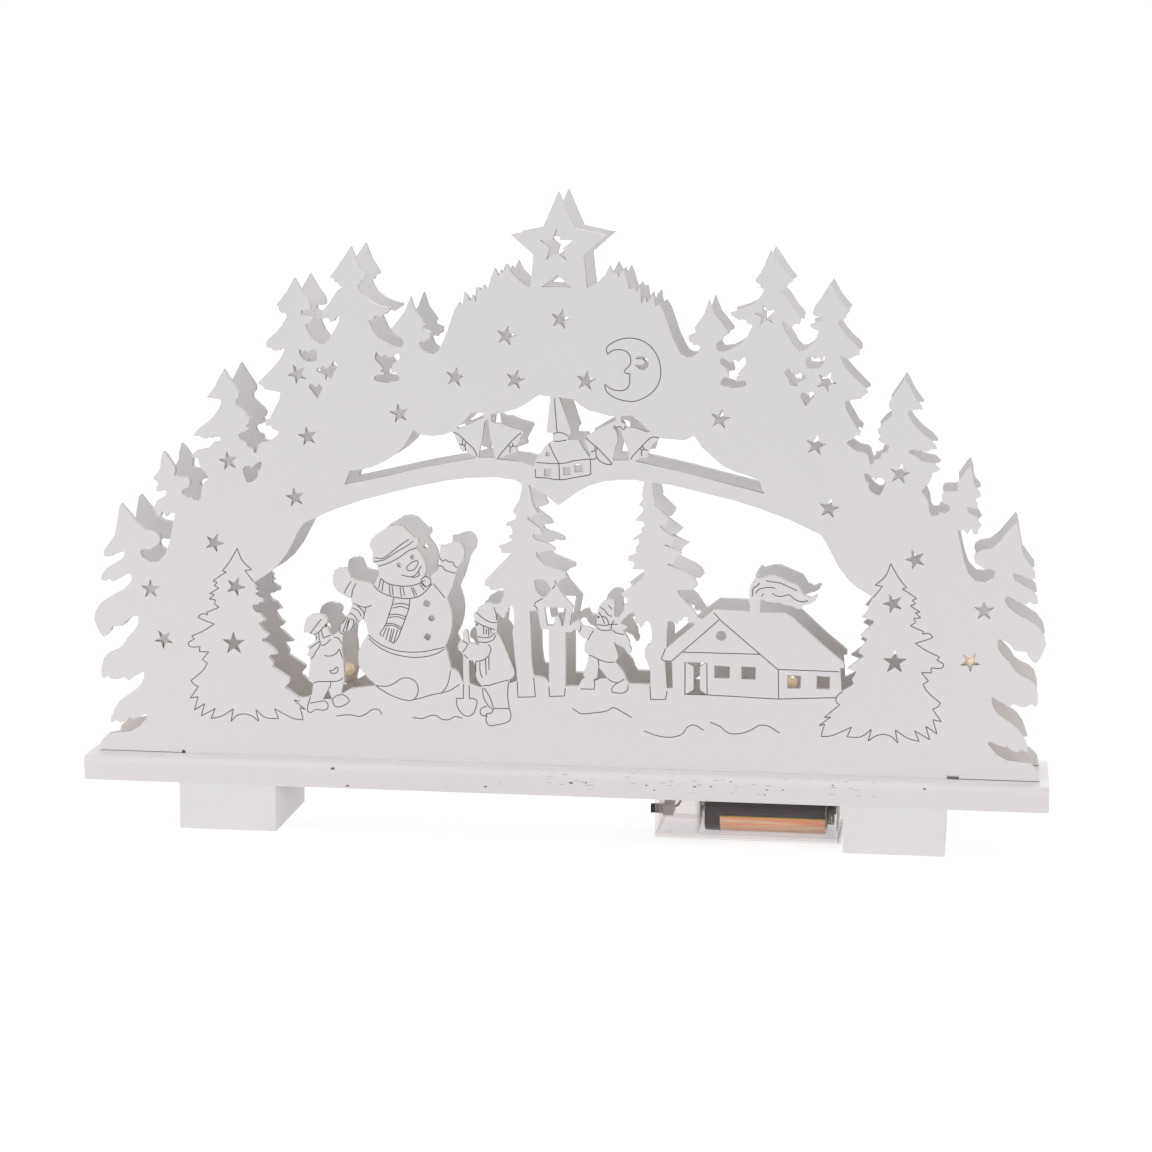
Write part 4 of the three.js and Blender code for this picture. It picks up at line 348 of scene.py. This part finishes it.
DRAWINGS = {
    "engraved_child_holding_scarf": """
-97,86.5 -99.3,83.7 -101.7,80.3
-100.7,79.7 -98.3,81 -97,82.3 -94.8,84.8
-99.2,79.7 -99.2,78
-98.2,80.8 -98,77.8
-97.2,82 -96.3,78.7 -93.2,80
-102,74.3 -99.7,76 -97.7,77.5 -97.8,75.7 -99.7,72.7 -100.7,70.7 -101.7,70
-97.3,75.8 -96,75.8 -94.5,77 -93.3,78.3
-92,79.1 -90.3,78.9 -88.7,76.7
-96.1,71.5 -94.3,71.3 -91.3,72.3 -89.8,74.4 -89.3,73 -88.5,70.5
-94,65.2 -92.3,65.7 -91,67 -90.4,66 -91.3,64.5 -93,64.2 -94,65.2
-100.7,60 -99.3,60.5 -94,60.8 -90,61.3 -88.5,62.5
-93.6,60.8 -93.7,59 -94.5,57.7
-102,54.3 -103.3,50 -103.3,48.3 -102.3,47.7 -100,48.9 -96.3,48.9 -95,49.7 -95,51.7 -96.3,52.7 \
-97.7,52.5 -102.3,51.5
-92.8,53.5 -89,55.5 -86.7,54.3 -85.8,53 -87,51.8 -91.7,50.5 -92.5,51.7 -92.8,53.5
-88.2,57.7 -89.2,55.7
""",
    "engraved_scarf_end": """
-83.7,93.3 -81.7,92.5 -79.3,91.8 -78.3,91.9 -76.2,92.7
-78.6,91.8 -79.7,87
-82,92.3 -79.7,90 -79.5,89
-84.2,91.5 -81.7,90.2 -80.5,88
-85.5,89.2 -84,88.8 -82,86
-84.7,87 -82,85.2 -81.2,86
-86.7,87.8 -89.5,81.5 -89,80.8 -87.8,81 -85.8,86.3
-86,87.5 -88.3,81.3
-85.2,87.2 -86.7,82.3
-83.7,86 -84,84 -85.5,81.8
""",
    "engraved_snowman_hat_and_face": """
-74.7,112.2 -71.6,112 -67.7,114.7 -64.2,117.5 -60.6,120
-75.1,110.6 -71.2,111.3 -66.3,114.4 -60.6,117.9 -58.9,119.3
-73.7,108.6 -69.1,110.1 -64.9,112.4 -60.6,115.4 -57.8,116.5
-61.7,108.4 -61,109.4 -59.2,110.8 -57.5,111.5 -57,110.8 -57.8,108.7 -59.6,107.3 -61.3,107.4 \
-61.7,108.4
-63.9,105.4 -62,105 -59.6,104.8 -57.5,106.2 -56.8,107.3 -55.7,109.3
-60.6,104.8 -58.5,104.6 -56.4,105.5 -56.8,107.2
""",
    "engraved_snowman_scarf": """
-72.3,103.8 -69.8,102 -66.3,101.1 -60.6,101 -57.5,101.8 -54.3,103.4
-75.2,100.8 -73.3,98.8 -69.8,97.1 -66.3,96.2 -60.6,95.9 -56.4,97.1 -53.6,99.5 -51.5,102
-53.8,105 -52.4,104.4 -51.8,103 -52.4,101.6 -53.8,101 -55.2,101.6 -55.8,103 -55.2,104.4 \
-53.8,105
-72.3,103.8 -73.3,99.5
-71.2,103.1 -71.9,98.5
-69,101.5 -68.5,97.1
-67.8,101.3 -67.3,97.1
-64.5,101 -64,96.4
-63.5,101 -62.6,97.1
-59.9,100.6 -58.5,96.7
-59.1,100.4 -57.7,97.4
-56.4,101.8 -54.6,99.5
-55.3,102.4 -53.9,100.6
-67.1,96 -67.7,93.2 -69.4,88.3 -70.5,85.1 -73,81.2 -72.3,80.4
-60.5,95.9 -61,91.8 -62.7,86.9 -64.2,83 -66.3,78.4 -67.7,77.3 -68.7,78.4
-67.3,93.3 -64.2,93.8 -60.6,93.1
-67.5,91.8 -64.2,92.5 -61,91.6
-69.1,89 -65.6,89.3 -62,88.3
-69.2,87.9 -65.6,88.3 -62.4,87.2
-70.5,85.3 -67.7,85.4 -64,83.9
-70.7,84.4 -67.7,84.7 -64.3,83
-70.2,83.7 -71.9,79.8
-69.1,83.7 -70.5,78.7
-68,83.3 -69.2,77.8
-67,83.3 -68.4,78.4
-65.6,83 -67.3,77.7
""",
    "engraved_snowman_body": """
-77.7,80.5 -74.7,78 -70.5,75.7 -65.6,74.3 -60.6,73.9 -55,74.3 -50.1,75.4 -46.5,76.3
-77.6,79.1 -74.4,76.3 -69.8,73.8 -64.9,72.4 -59.2,71.8 -53.6,72.4 -49.4,73.8 -46.5,75.6
-75,59.7 -69.8,59.7 -67,61.1 -64.2,62.9 -61.3,63.2 -58.5,61.8 -57.5,59.4 -57.8,56.5 \
-59.6,54.3 -62.8,54.1 -67.7,55.5 -71.9,57.6 -74.7,59.5
-59.6,54.3 -56.4,55.1 -51.5,56.7 -47.6,57.6 -44.4,58.6 -40.5,61.3
-44.1,66.8 -44.8,62.9 -46.2,59.4 -48.1,57.2
-84.5,102.2 -86.4,99.5 -87.4,97.3
-82.6,101.5 -83.9,98.8 -84.5,95.7
-48.1,112.7 -46.9,111.2 -45.8,112.2 -44.4,111.2 -43,111.2 -41.9,109.4 -40.5,108.9
-49.2,109.4 -47.2,109.4 -46.2,108 -44.8,107.4 -43.4,107 -41.2,106.6
-50.9,102.2 -48.6,99.5 -46.2,96.6
""",
    "engraved_child_with_shovel": """
-33.3,90.9 -31.4,89.2 -28.9,87.6 -27,87 -25,87
-33.9,87.3 -31.4,85.9 -28.9,85 -25.8,84
-26.2,93.3 -25.4,90.5 -25.1,88
-30.5,85.6 -30.5,82.1
-29.4,84.5 -29.4,82.1
-28.4,84.5 -28.4,81.5
-27.8,84.7 -27.3,82.5
-32.7,81.1 -30.5,80.7 -28,81 -25.8,82.8
-32.4,79 -29.5,78.8 -26.7,79.9 -25.4,82
-39,74.6 -37.7,76.3 -36.9,77.9 -39.1,79.2
-38.5,73.5 -36.9,71.9
-28.6,78.1 -27.6,76.3 -28,74.3 -29.2,72.6 -31.4,71.3 -34.3,70.8
-33.8,70.7 -33.8,66.3
-32.1,70.7 -31.9,66.3 -31.1,64.2
-29.8,72.1 -29.5,65.6
-28.4,73 -28.4,67.5
-31.4,60.9 -30.5,61.1 -28.3,61.2 -26.1,62 -22.9,63 -20.4,63.6
-31,60.1 -30.7,56.5 -28.9,53 -26.8,51.2
-30.4,60.1 -28.2,56.5 -26.6,51.9
-20.4,62.9 -20.8,57.2 -20.1,51.9 -23.3,51.9 -26.4,51.7
-29.3,49.1 -29.7,46.7 -28.5,44.7 -26.1,44.9 -20.1,47 -19.5,48.8 -20.1,51.9
-29.3,52.7 -31.6,51.5 -32.1,50.2 -31.7,49.1 -30,48.4 -29.3,49.6 -27.5,49.8 -26.6,51.6
-38.8,61.5 -38.9,55.5 -41.7,55.5 -41.5,52.3 -39.8,49.5 -37.4,48.2 -35.2,49.1 -33.7,52.3 \
-33.5,54.8 -35.2,55.6 -36.4,55.5 -36.5,61.1
""",
    "engraved_trunks_and_lantern": """
-16.9,63.6 -16.6,56.7 -9.5,57.1 -10.2,65
-4,61.5 -3.8,57.4 2.3,57.8 2.6,61.1
36.7,63.6 37.1,57.4 43,57.6 43.7,61.1
-6.3,97.4 -9.4,95.7 -9.9,94.3 -8.9,93.5 -8.6,92.3
-2.5,101.4 -1.1,103.2 -1.6,104.7
""",
    "engraved_running_child": """
16.7,94.3 18.3,93.4 19.8,91.5 21.4,90.7
16.1,92.3 17.2,90.8 18.5,87.7
17.2,90.8 18.7,90.4 19.8,89 20.1,87.1
20,95.2 21.4,93.7
15.6,87.3 18.3,87 21.1,87.5 23.8,87.7
15.6,86.2 16.5,85.3 21.1,85.2
22.2,89.2 21.4,87.5 21.1,85.5
21.4,85.3 23.6,84 26.4,83.6
8.8,86.8 8.9,85.3 8.1,84.2
14,84.8 12.9,83.1 11.8,80.9
11.9,74.8 13.6,74.4 15.8,73.3 19.1,72.2 22.4,72.2
15.9,73.1 16.3,70.3
19.4,65.6 21.6,64.3 23.8,63.9 26.4,65.4
8.8,60.9 14.3,60.9 14.5,63.8 14,64.9
23.5,63.8 21.4,61.2 21.7,59.8 26.4,59.9 27.8,61.2 28,63
""",
    "engraved_snow_ripples": """
-91.5,46.5 -88.8,47 -85.3,47.2 -81.8,46.7 -79.3,47.7 -76.2,49.8 -74,49.8 -72.4,47.9
-59.8,47 -55.7,46.7 -52.9,47.9 -50.1,48.1 -47.9,46.7 -45.1,46.5 -42.3,47.9 -39.3,47.2
5.5,52.9 8.7,50.9 14,51.2 19.6,52.3 22.1,53.6 25.3,52.2 29.5,49.8
34.6,44.5 39.4,42.8 45.7,42.3 49.9,43.8 52.1,46.7 54.2,47.6 58.4,45.6
61.1,48.9 64.8,47.4 68.6,44.7 73.9,44.9 77.4,46.3 80.6,48.2 83.8,48.2 88.7,45.4
""",
    "engraved_house": """
43,78.4 41.3,74.2 42.3,73.3 45.4,73.3 64.4,90.7 87.7,71.2 112,71
62.1,93.3 64.4,91
50,77.1 80.8,77.1
87.9,71.2 88.2,59.2
50.8,60 59.8,60 71.1,59.7 88.2,59.2 100,59.9 111,60.5
50.8,73.1 50.8,59.9
59.5,73 59.7,59.9
""",
    "engraved_chimney_smoke": """
82.7,106.7 84.9,106.4 88.4,105.9 91,104.8 94.9,103
77.4,100.3 77.8,103.8 78.7,104.3 80.2,105.7
78.5,101.6 79.9,103.2 82.1,103.9 84.9,104.1 86.4,103.7
81,100.4 81.7,101.6
85.2,101.8 86.4,101 87.9,100.6 90.1,100.9 91.8,101.3 93.6,99.9 95.3,99 97.5,98.7 99.3,99.2
""",
    "engraved_moon": """
19.5,195.3 19,197.6 22.3,200.3 27,201.7 32.2,201.1 36.5,198.5 39.4,194.2 40.4,190 40.1,185.5 \
38.3,181.8 34.8,178.8 30,176.9 25.2,177.3 21.3,178.8 18.7,181.4 18.4,183.5 20.9,181.7 24.5,181 \
26.5,181.5 27.9,183 28.3,187.7 26.5,188.1 26.3,189.1 28,190.7 28.7,193 27.5,196 25.3,197 \
21.6,196.8 19.5,195.3
""",
    "engraved_bells": """
-42.4,163.6 -40.8,162.9 -39.3,161.8 -37.2,159.9 -35.6,158.4 -34.2,157.1 -33.2,155.5 -32.8,153.9
-38.4,161 -38.7,158.6 -39.8,158.6
-38.8,158.7 -37.6,157.9 -37.3,156
-37.3,159.6 -37.6,157.9
-15,163.7 -16.7,162.3 -18.8,160.3 -20.3,158.5 -22.4,156.1 -23.8,154.2 -24.6,152.9 -23.5,153.1 \
-21.3,153.2
-20.2,158.9 -19.4,158 -18.7,158.1 -18.3,158.6 -18.5,159.5
-18.4,158.3 -16.9,158.3
-19.2,157.9 -19.4,156.9 -19.5,155.6
10.8,162.3 13,160.3 15.8,158 17.5,156.2 19.8,153.8 21.3,152
15.2,154.6 16.2,153.3 18,152.2 20,151.7 21.5,151.9
14.7,158.7 14.2,157 13,156.8
15.5,158.1 14.9,157 15,155.5 15.2,154.5
20.9,166.7 22.3,165.9 23.2,164.6
22.1,167.4 22.9,166.5 24.5,166.9 25.1,166.2 25.9,165.6 26.4,166.3 26.4,168
40,162.5 38.5,162.9 37.2,162.9 35.9,162 34.2,160.4 32.4,158.4 30.6,156.4 29.5,155.2 28.8,153.9
33.3,159.3 32.4,158.4 33.2,157.5 34,158.2 33.3,159.3
34,158 35.4,157.6
33.2,157.5 32.9,156.3 33.1,155.4
""",
    "engraved_church": """
-3.8,159.6 -2.8,157.3 -1.8,155.1 0.1,151.7
-8.9,152 -6,151.8 -3,151.7 0.1,151.7 3,152 5.5,152.8 9,153.4 12.6,153.8 14.3,153.6 15.2,154.5
0.1,151.7 0.3,148.5 0.3,145.3
12.7,153.8 12.8,150.5 12.9,147.7 11.5,147.2 9,146.8 6,146.2 2.5,145.4 0.3,145.3 -2,145.4 \
-5,145.9 -9.3,146 -9.3,149.3
-1.5,177.7 -1.4,174 -1,169.5 -0.7,165 -0.3,164.1 1.2,164 2.8,163.5 3.6,162.7
-2.3,163.5 -0.3,164.1
-1.8,160.5 0.3,160.6 3.2,161.1
""",
}
STRAIGHT_DRAWINGS = ("engraved_house", "engraved_church", "engraved_trunks_and_lantern")
LEFT_FIR_END = -4  # the left fir goes without the last points of the right one's line
CHILD_EYES = ((-95.2, 83.7, 0.5), (-33.2, 85.9, 0.5), (16, 90.4, 0.5))
SCORCH_COLOURS = ("#4d4846", "#77716e")
SCORCH_GRAIN = 2.38
scorch, tree, shader = material("laser_scorched_plywood", "#625c59", 0.9)
char = add(tree, "TexNoise", {"Vector": add(tree, "TexCoord").outputs["Object"],
                              "Scale": per_metre(SCORCH_GRAIN), "Detail": 3.0})
tree.links.new(blend(tree, char.outputs[0], *SCORCH_COLOURS), shader.inputs["Base Color"])
panel_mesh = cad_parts["front_panel"].data
panel_faces = BVHTree.FromPolygons([v.co for v in panel_mesh.vertices],
                                   [p.vertices for p in panel_mesh.polygons])


def strokes_of(text):
    """Each row's points in the plane of the panel's face, in mm."""
    rows = [[p.split(",") for p in row.split()] for row in text.strip().splitlines()]
    return [[Vector((float(x), 0, float(z))) for x, z in row] for row in rows]


def drawn_through(points, straight):
    """A line through the points in short steps: round at a slight turn, sharp at a corner."""
    closed = (points[0] - points[-1]).length < SAME_POINT
    count = len(points)
    line = [points[0]]
    for i in range(count - 1):
        here, there = points[i], points[i + 1]
        before = points[i - 1] if i else (points[-2] if closed else None)
        after = points[i + 2] if i + 2 < count else (points[1] if closed else None)
        span = there - here
        handles = []
        for end, other, neighbour in ((here, there, before), (there, here, after)):
            handle = (other - end) / 3
            if neighbour is not None and not straight:
                inward = end - neighbour
                if inward.angle(other - end, 0) < CORNER_TURN:
                    handle = (inward.normalized() + (other - end).normalized()).normalized()
                    handle *= span.length / 3
            handles.append(end + handle)
        steps = max(2, math.ceil(span.length / STROKE_STEP)) + 1
        line += interpolate_bezier(here, *handles, there, steps)[1:]
    return line


def on_wood(point):
    """Whether the panel's face is behind this point."""
    start = Vector((point.x * MM, FACE_Y - MM, point.z * MM))
    return panel_faces.ray_cast(start, Vector((0, 1, 0)), 2 * MM)[0] is not None


def engrave(name, strokes, straight=False):
    """The strokes as one flat burnt line piece, just proud of the front panel."""
    curve = bpy.data.curves.new(name, "CURVE")
    curve.dimensions = "3D"
    curve.bevel_depth = STROKE_WIDTH / 2 * MM
    curve.bevel_resolution = 1
    curve.use_fill_caps = True
    for stroke in strokes:
        run = []
        for point in drawn_through(stroke, straight) + [None]:
            if point is not None and on_wood(point):
                run.append(point)
                continue
            if len(run) > 2:
                spline = curve.splines.new("POLY")
                spline.points.add(len(run) - 1)
                for made, place in zip(spline.points, run):
                    made.co = (place.x * MM, 0, place.z * MM, 1)
            run = []
    drawing = show(name, curve)
    drawing.location.y = FACE_Y
    drawing.scale.y = STROKE_HEIGHT / (STROKE_WIDTH / 2)
    curve.materials.append(scorch)
    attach(drawing, "arch")


engrave("engraved_right_fir", strokes_of(FIR))
engrave("engraved_left_fir", [[Vector((-p.x, 0, p.z)) for p in s[:LEFT_FIR_END]]
                              for s in strokes_of(FIR)])
for name, text in DRAWINGS.items():
    engrave(name, strokes_of(text), name in STRAIGHT_DRAWINGS)

EYE_SIDES = 14
EYE_WIDTH = 0.8
vertices, faces = [], []
for x, z, radius in CHILD_EYES:
    ring = [(x + radius * EYE_WIDTH * math.cos(a), z + radius * math.sin(a))
            for a in (math.tau * k / EYE_SIDES for k in range(EYE_SIDES))]
    first = len(vertices)
    for y in (-STROKE_HEIGHT, STROKE_HEIGHT):
        vertices += [(px * MM, FACE_Y + y * MM, pz * MM) for px, pz in ring]
    front = [first + k for k in range(EYE_SIDES)]
    faces += [front, [k + EYE_SIDES for k in reversed(front)]]
    faces += [(a, a + EYE_SIDES, b + EYE_SIDES, b) for a, b in zip(front, front[1:] + front[:1])]
mesh = bpy.data.meshes.new("engraved_child_eyes")
mesh.from_pydata(vertices, [], faces)
mesh.materials.append(scorch)
eyes = show("engraved_child_eyes", mesh)
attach(eyes, "arch")

# The battery box and its sliding lid are injection moulded from clear polystyrene.
# The walls are see-through round the cells, a little more milky round the switch bay,
# and milky white wherever they are seen aslant.
HAZE_FACE_ON = (0.045, 0.14)  # round the cells, and round the switch
HAZE_ASLANT = (0.5, 0.34)
HAZE_TURN = 2.5
HAZE_CLOUD = 6.25
HAZE_EDGE = (0.35, 0.7)
HAZE_ROUGHNESS = (0.06, 0.14)
BAY_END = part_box("negative_contact")[0].x
BAY_FADE = 2 * MM
clear, tree, shader = material("clear_moulded_polystyrene", "#f6e2e2", 0.09, IOR=1.55,
                               Specular_IOR_Level=0.32)
slant = add(tree, "LayerWeight", {"Blend": 0.5})
slant = add(tree, "Math", {0: slant.outputs["Facing"], 1: HAZE_TURN}, operation="POWER")
place = add(tree, "TexCoord").outputs["Object"]
along = add(tree, "SeparateXYZ", {0: place}).outputs["X"]
face_on, aslant = (add(tree, "MapRange", {0: along, 1: BAY_END, 2: BAY_END - BAY_FADE,
                                          3: by_cells, 4: by_switch}).outputs[0]
                   for by_cells, by_switch in (HAZE_FACE_ON, HAZE_ASLANT))
cover = add(tree, "MapRange", {0: slant.outputs[0], 3: face_on, 4: aslant})
tree.links.new(cover.outputs[0], shader.inputs["Alpha"])
haze = add(tree, "TexNoise", {"Vector": place, "Scale": per_metre(HAZE_CLOUD), "Detail": 2.0})
rough = add(tree, "MapRange", {0: haze.outputs[0], 1: HAZE_EDGE[0], 2: HAZE_EDGE[1],
                               3: HAZE_ROUGHNESS[0], 4: HAZE_ROUGHNESS[1]})
tree.links.new(rough.outputs[0], shader.inputs["Roughness"])
dress(clear, "battery_case", "battery_lid")

# Two AA cells lie side by side in the box. Each is a drawn steel can in a printed
# shrink film, charcoal with a copper-orange band along one side. The band carries
# painted highlights: pale copper and gold streaks along the cell.
CAN_DRAWING = (16.7, 0.385, 0.385)  # mm along the can and across it, drawn coarse to show
CAN_ROUGHNESS = (0.2, 0.38)
can, tree, shader = material("nickel_plated_steel_can", "#c9c7c4", 0.28, Metallic=1.0)
drawn = add(tree, "Mapping", {"Vector": add(tree, "TexCoord").outputs["Object"],
                              "Scale": [per_metre(size) for size in CAN_DRAWING]})
drawn = add(tree, "TexNoise", {"Vector": drawn.outputs[0], "Scale": 1.0, "Detail": 2.0})
rough = add(tree, "MapRange", {0: drawn.outputs[0], 3: CAN_ROUGHNESS[0], 4: CAN_ROUGHNESS[1]})
tree.links.new(rough.outputs[0], shader.inputs["Roughness"])
dress(can, "front_cell", "rear_cell")

FILM_DARK = "#1f1a1b"
FILM_COPPER_AND_HIGHLIGHT = ("#ff9b70", "#ffe4c2")
FILM_GOLD_HIGHLIGHT = "#e9b45c"
FILM_LINE = "#d9a53a"
# Painted highlights: streaks that lay pale copper and gold over the copper band.
HIGHLIGHT_STREAK = (22.2, 1.11, 1.11)
HIGHLIGHT_EDGE = (0.35, 0.65)
GLINT_EDGE = (0.64, 0.72)
# The print's edges run from no ink to full ink, in mm up and in mm from the nub's end.
COPPER_TOP = (10.3, 10.1)
LINE_TOP = (10.9, 10.8)
BAND_START = (6.0, 6.2)
BAND_END = (49.2, 49.0)
for cell, nub_side in (("front", -1), ("rear", 1)):
    film, tree, shader = material(f"printed_shrink_film_{cell}", FILM_DARK, 0.34, IOR=1.5,
                                  Specular_IOR_Level=0.32)
    low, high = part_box(f"{cell}_cell_sleeve")
    nub_end = low.x if nub_side < 0 else high.x
    place = add(tree, "TexCoord").outputs["Object"]
    split = add(tree, "SeparateXYZ", {0: place})
    streak = add(tree, "Mapping", {"Vector": place,
                                   "Scale": [per_metre(size) for size in HIGHLIGHT_STREAK]})
    streak = add(tree, "TexNoise", {"Vector": streak.outputs[0], "Scale": 1.0, "Detail": 2.0})
    pale_highlight = add(tree, "MapRange", {0: streak.outputs[0], 1: HIGHLIGHT_EDGE[0], 2: HIGHLIGHT_EDGE[1]})
    copper = blend(tree, pale_highlight.outputs[0], *FILM_COPPER_AND_HIGHLIGHT)
    glint = add(tree, "MapRange", {0: streak.outputs[0], 1: GLINT_EDGE[0], 2: GLINT_EDGE[1]})
    copper = blend(tree, glint.outputs[0], copper, FILM_GOLD_HIGHLIGHT)
    from_nub = add(tree, "Math", {0: split.outputs["X"], 1: nub_end},
                   operation="SUBTRACT").outputs[0]
    from_nub = add(tree, "Math", {0: from_nub}, operation="ABSOLUTE").outputs[0]
    started, ended = (add(tree, "MapRange", {0: from_nub, 1: start * MM, 2: end * MM}).outputs[0]
                      for start, end in (BAND_START, BAND_END))
    band = add(tree, "Math", {0: started, 1: ended}, operation="MULTIPLY").outputs[0]
    print_colour = linear(FILM_DARK)
    for (start, end), ink in ((LINE_TOP, FILM_LINE), (COPPER_TOP, copper)):
        below = add(tree, "MapRange", {0: split.outputs["Z"], 1: start * MM, 2: end * MM})
        share = add(tree, "Math", {0: below.outputs[0], 1: band}, operation="MULTIPLY")
        print_colour = blend(tree, share.outputs[0], print_colour, ink)
    tree.links.new(print_colour, shader.inputs["Base Color"])
    dress(film, f"{cell}_cell_sleeve")

# The contacts and springs are bent from nickel-plated spring steel, held in slots of
# the box. The sheet has a fine rolled grain, and it is a little dull from handling.
SHEET_ROLLING = (0.4, 0.4, 8.33)  # mm across the grain and along it, drawn coarse to show
SHEET_ROUGHNESS = (0.22, 0.42)
nickel, tree, shader = material("nickel_plated_spring_steel", "#bdb9b2", 0.3, Metallic=1.0)
rolled = add(tree, "Mapping", {"Vector": add(tree, "TexCoord").outputs["Object"],
                               "Scale": [per_metre(size) for size in SHEET_ROLLING]})
rolled = add(tree, "TexNoise", {"Vector": rolled.outputs[0], "Scale": 1.0, "Detail": 2.0})
rough = add(tree, "MapRange", {0: rolled.outputs[0], 3: SHEET_ROUGHNESS[0],
                               4: SHEET_ROUGHNESS[1]})
tree.links.new(rough.outputs[0], shader.inputs["Roughness"])
dress(nickel, "positive_contact", "negative_contact", "link_contact", "front_spring",
      "rear_spring")

# The slide switch has a folded tin-plated steel shell and a black nylon knob, which
# sticks out of the box's left end and slides from front to back.
SHELL_COLOURS = ("#737377", "#88888b")
SHELL_MOTTLE = 1.43
KNOB_RIDGE = 0.45
KNOB_RELIEF = 0.15
WAVE_TURN = 20  # radians of a wave texture for each unit of its scale
shell, tree, shader = material("tin_plated_steel_shell", "#7c7c80", 0.4, Metallic=0.9)
mottle = add(tree, "TexNoise", {"Vector": add(tree, "TexCoord").outputs["Object"],
                                "Scale": per_metre(SHELL_MOTTLE), "Detail": 2.0})
tree.links.new(blend(tree, mottle.outputs[0], *SHELL_COLOURS), shader.inputs["Base Color"])
dress(shell, "switch_body")
nylon, tree, shader = material("black_moulded_nylon", "#141314", 0.55, IOR=1.53)
grip = add(tree, "TexWave", {"Vector": add(tree, "TexCoord").outputs["Object"],
                             "Scale": math.tau / WAVE_TURN * per_metre(KNOB_RIDGE),
                             "Distortion": 0.0}, bands_direction="Y")
bump = add(tree, "Bump", {"Height": grip.outputs[1], "Strength": 0.5,
                          "Distance": KNOB_RELIEF * MM})
tree.links.new(bump.outputs[0], shader.inputs["Normal"])
dress(nylon, "switch_knob")

# The light chain is fine enamelled copper wire, laid along the inside of the back
# panel and up to the stars. Each lamp is a tiny chip set in a drop of golden resin,
# which glows faintly.
WIRE_COLOURS = ("#d2bcac", "#e8dacf")
WIRE_TINT = 3.85
RESIN_RIPPLE = 2.86
RESIN_RELIEF = 0.2
RESIN_GLOW_COLOUR = "#ffe0b8"
RESIN_GLOW = 0.2
wire, tree, shader = material("enamelled_copper_wire", "#dcc8ba", 0.4, Metallic=0.15)
tint = add(tree, "TexNoise", {"Vector": add(tree, "TexCoord").outputs["Object"],
                              "Scale": per_metre(WIRE_TINT), "Detail": 2.0})
tree.links.new(blend(tree, tint.outputs[0], *WIRE_COLOURS), shader.inputs["Base Color"])
dress(wire, "lead_wire", "left_strand", "right_strand")
resin, tree, shader = material("golden_epoxy_drop", "#eddcc0", 0.07, IOR=1.5)
shader.inputs["Emission Color"].default_value = linear(RESIN_GLOW_COLOUR)
shader.inputs["Emission Strength"].default_value = RESIN_GLOW
ripple = add(tree, "TexNoise", {"Vector": add(tree, "TexCoord").outputs["Object"],
                                "Scale": per_metre(RESIN_RIPPLE), "Detail": 1.0})
bump = add(tree, "Bump", {"Height": ripple.outputs[0], "Strength": 0.3,
                          "Distance": RESIN_RELIEF * MM})
tree.links.new(bump.outputs[0], shader.inputs["Normal"])
dress(resin, "lamp_far_left", "lamp_left", "lamp_right", "lamp_far_right")
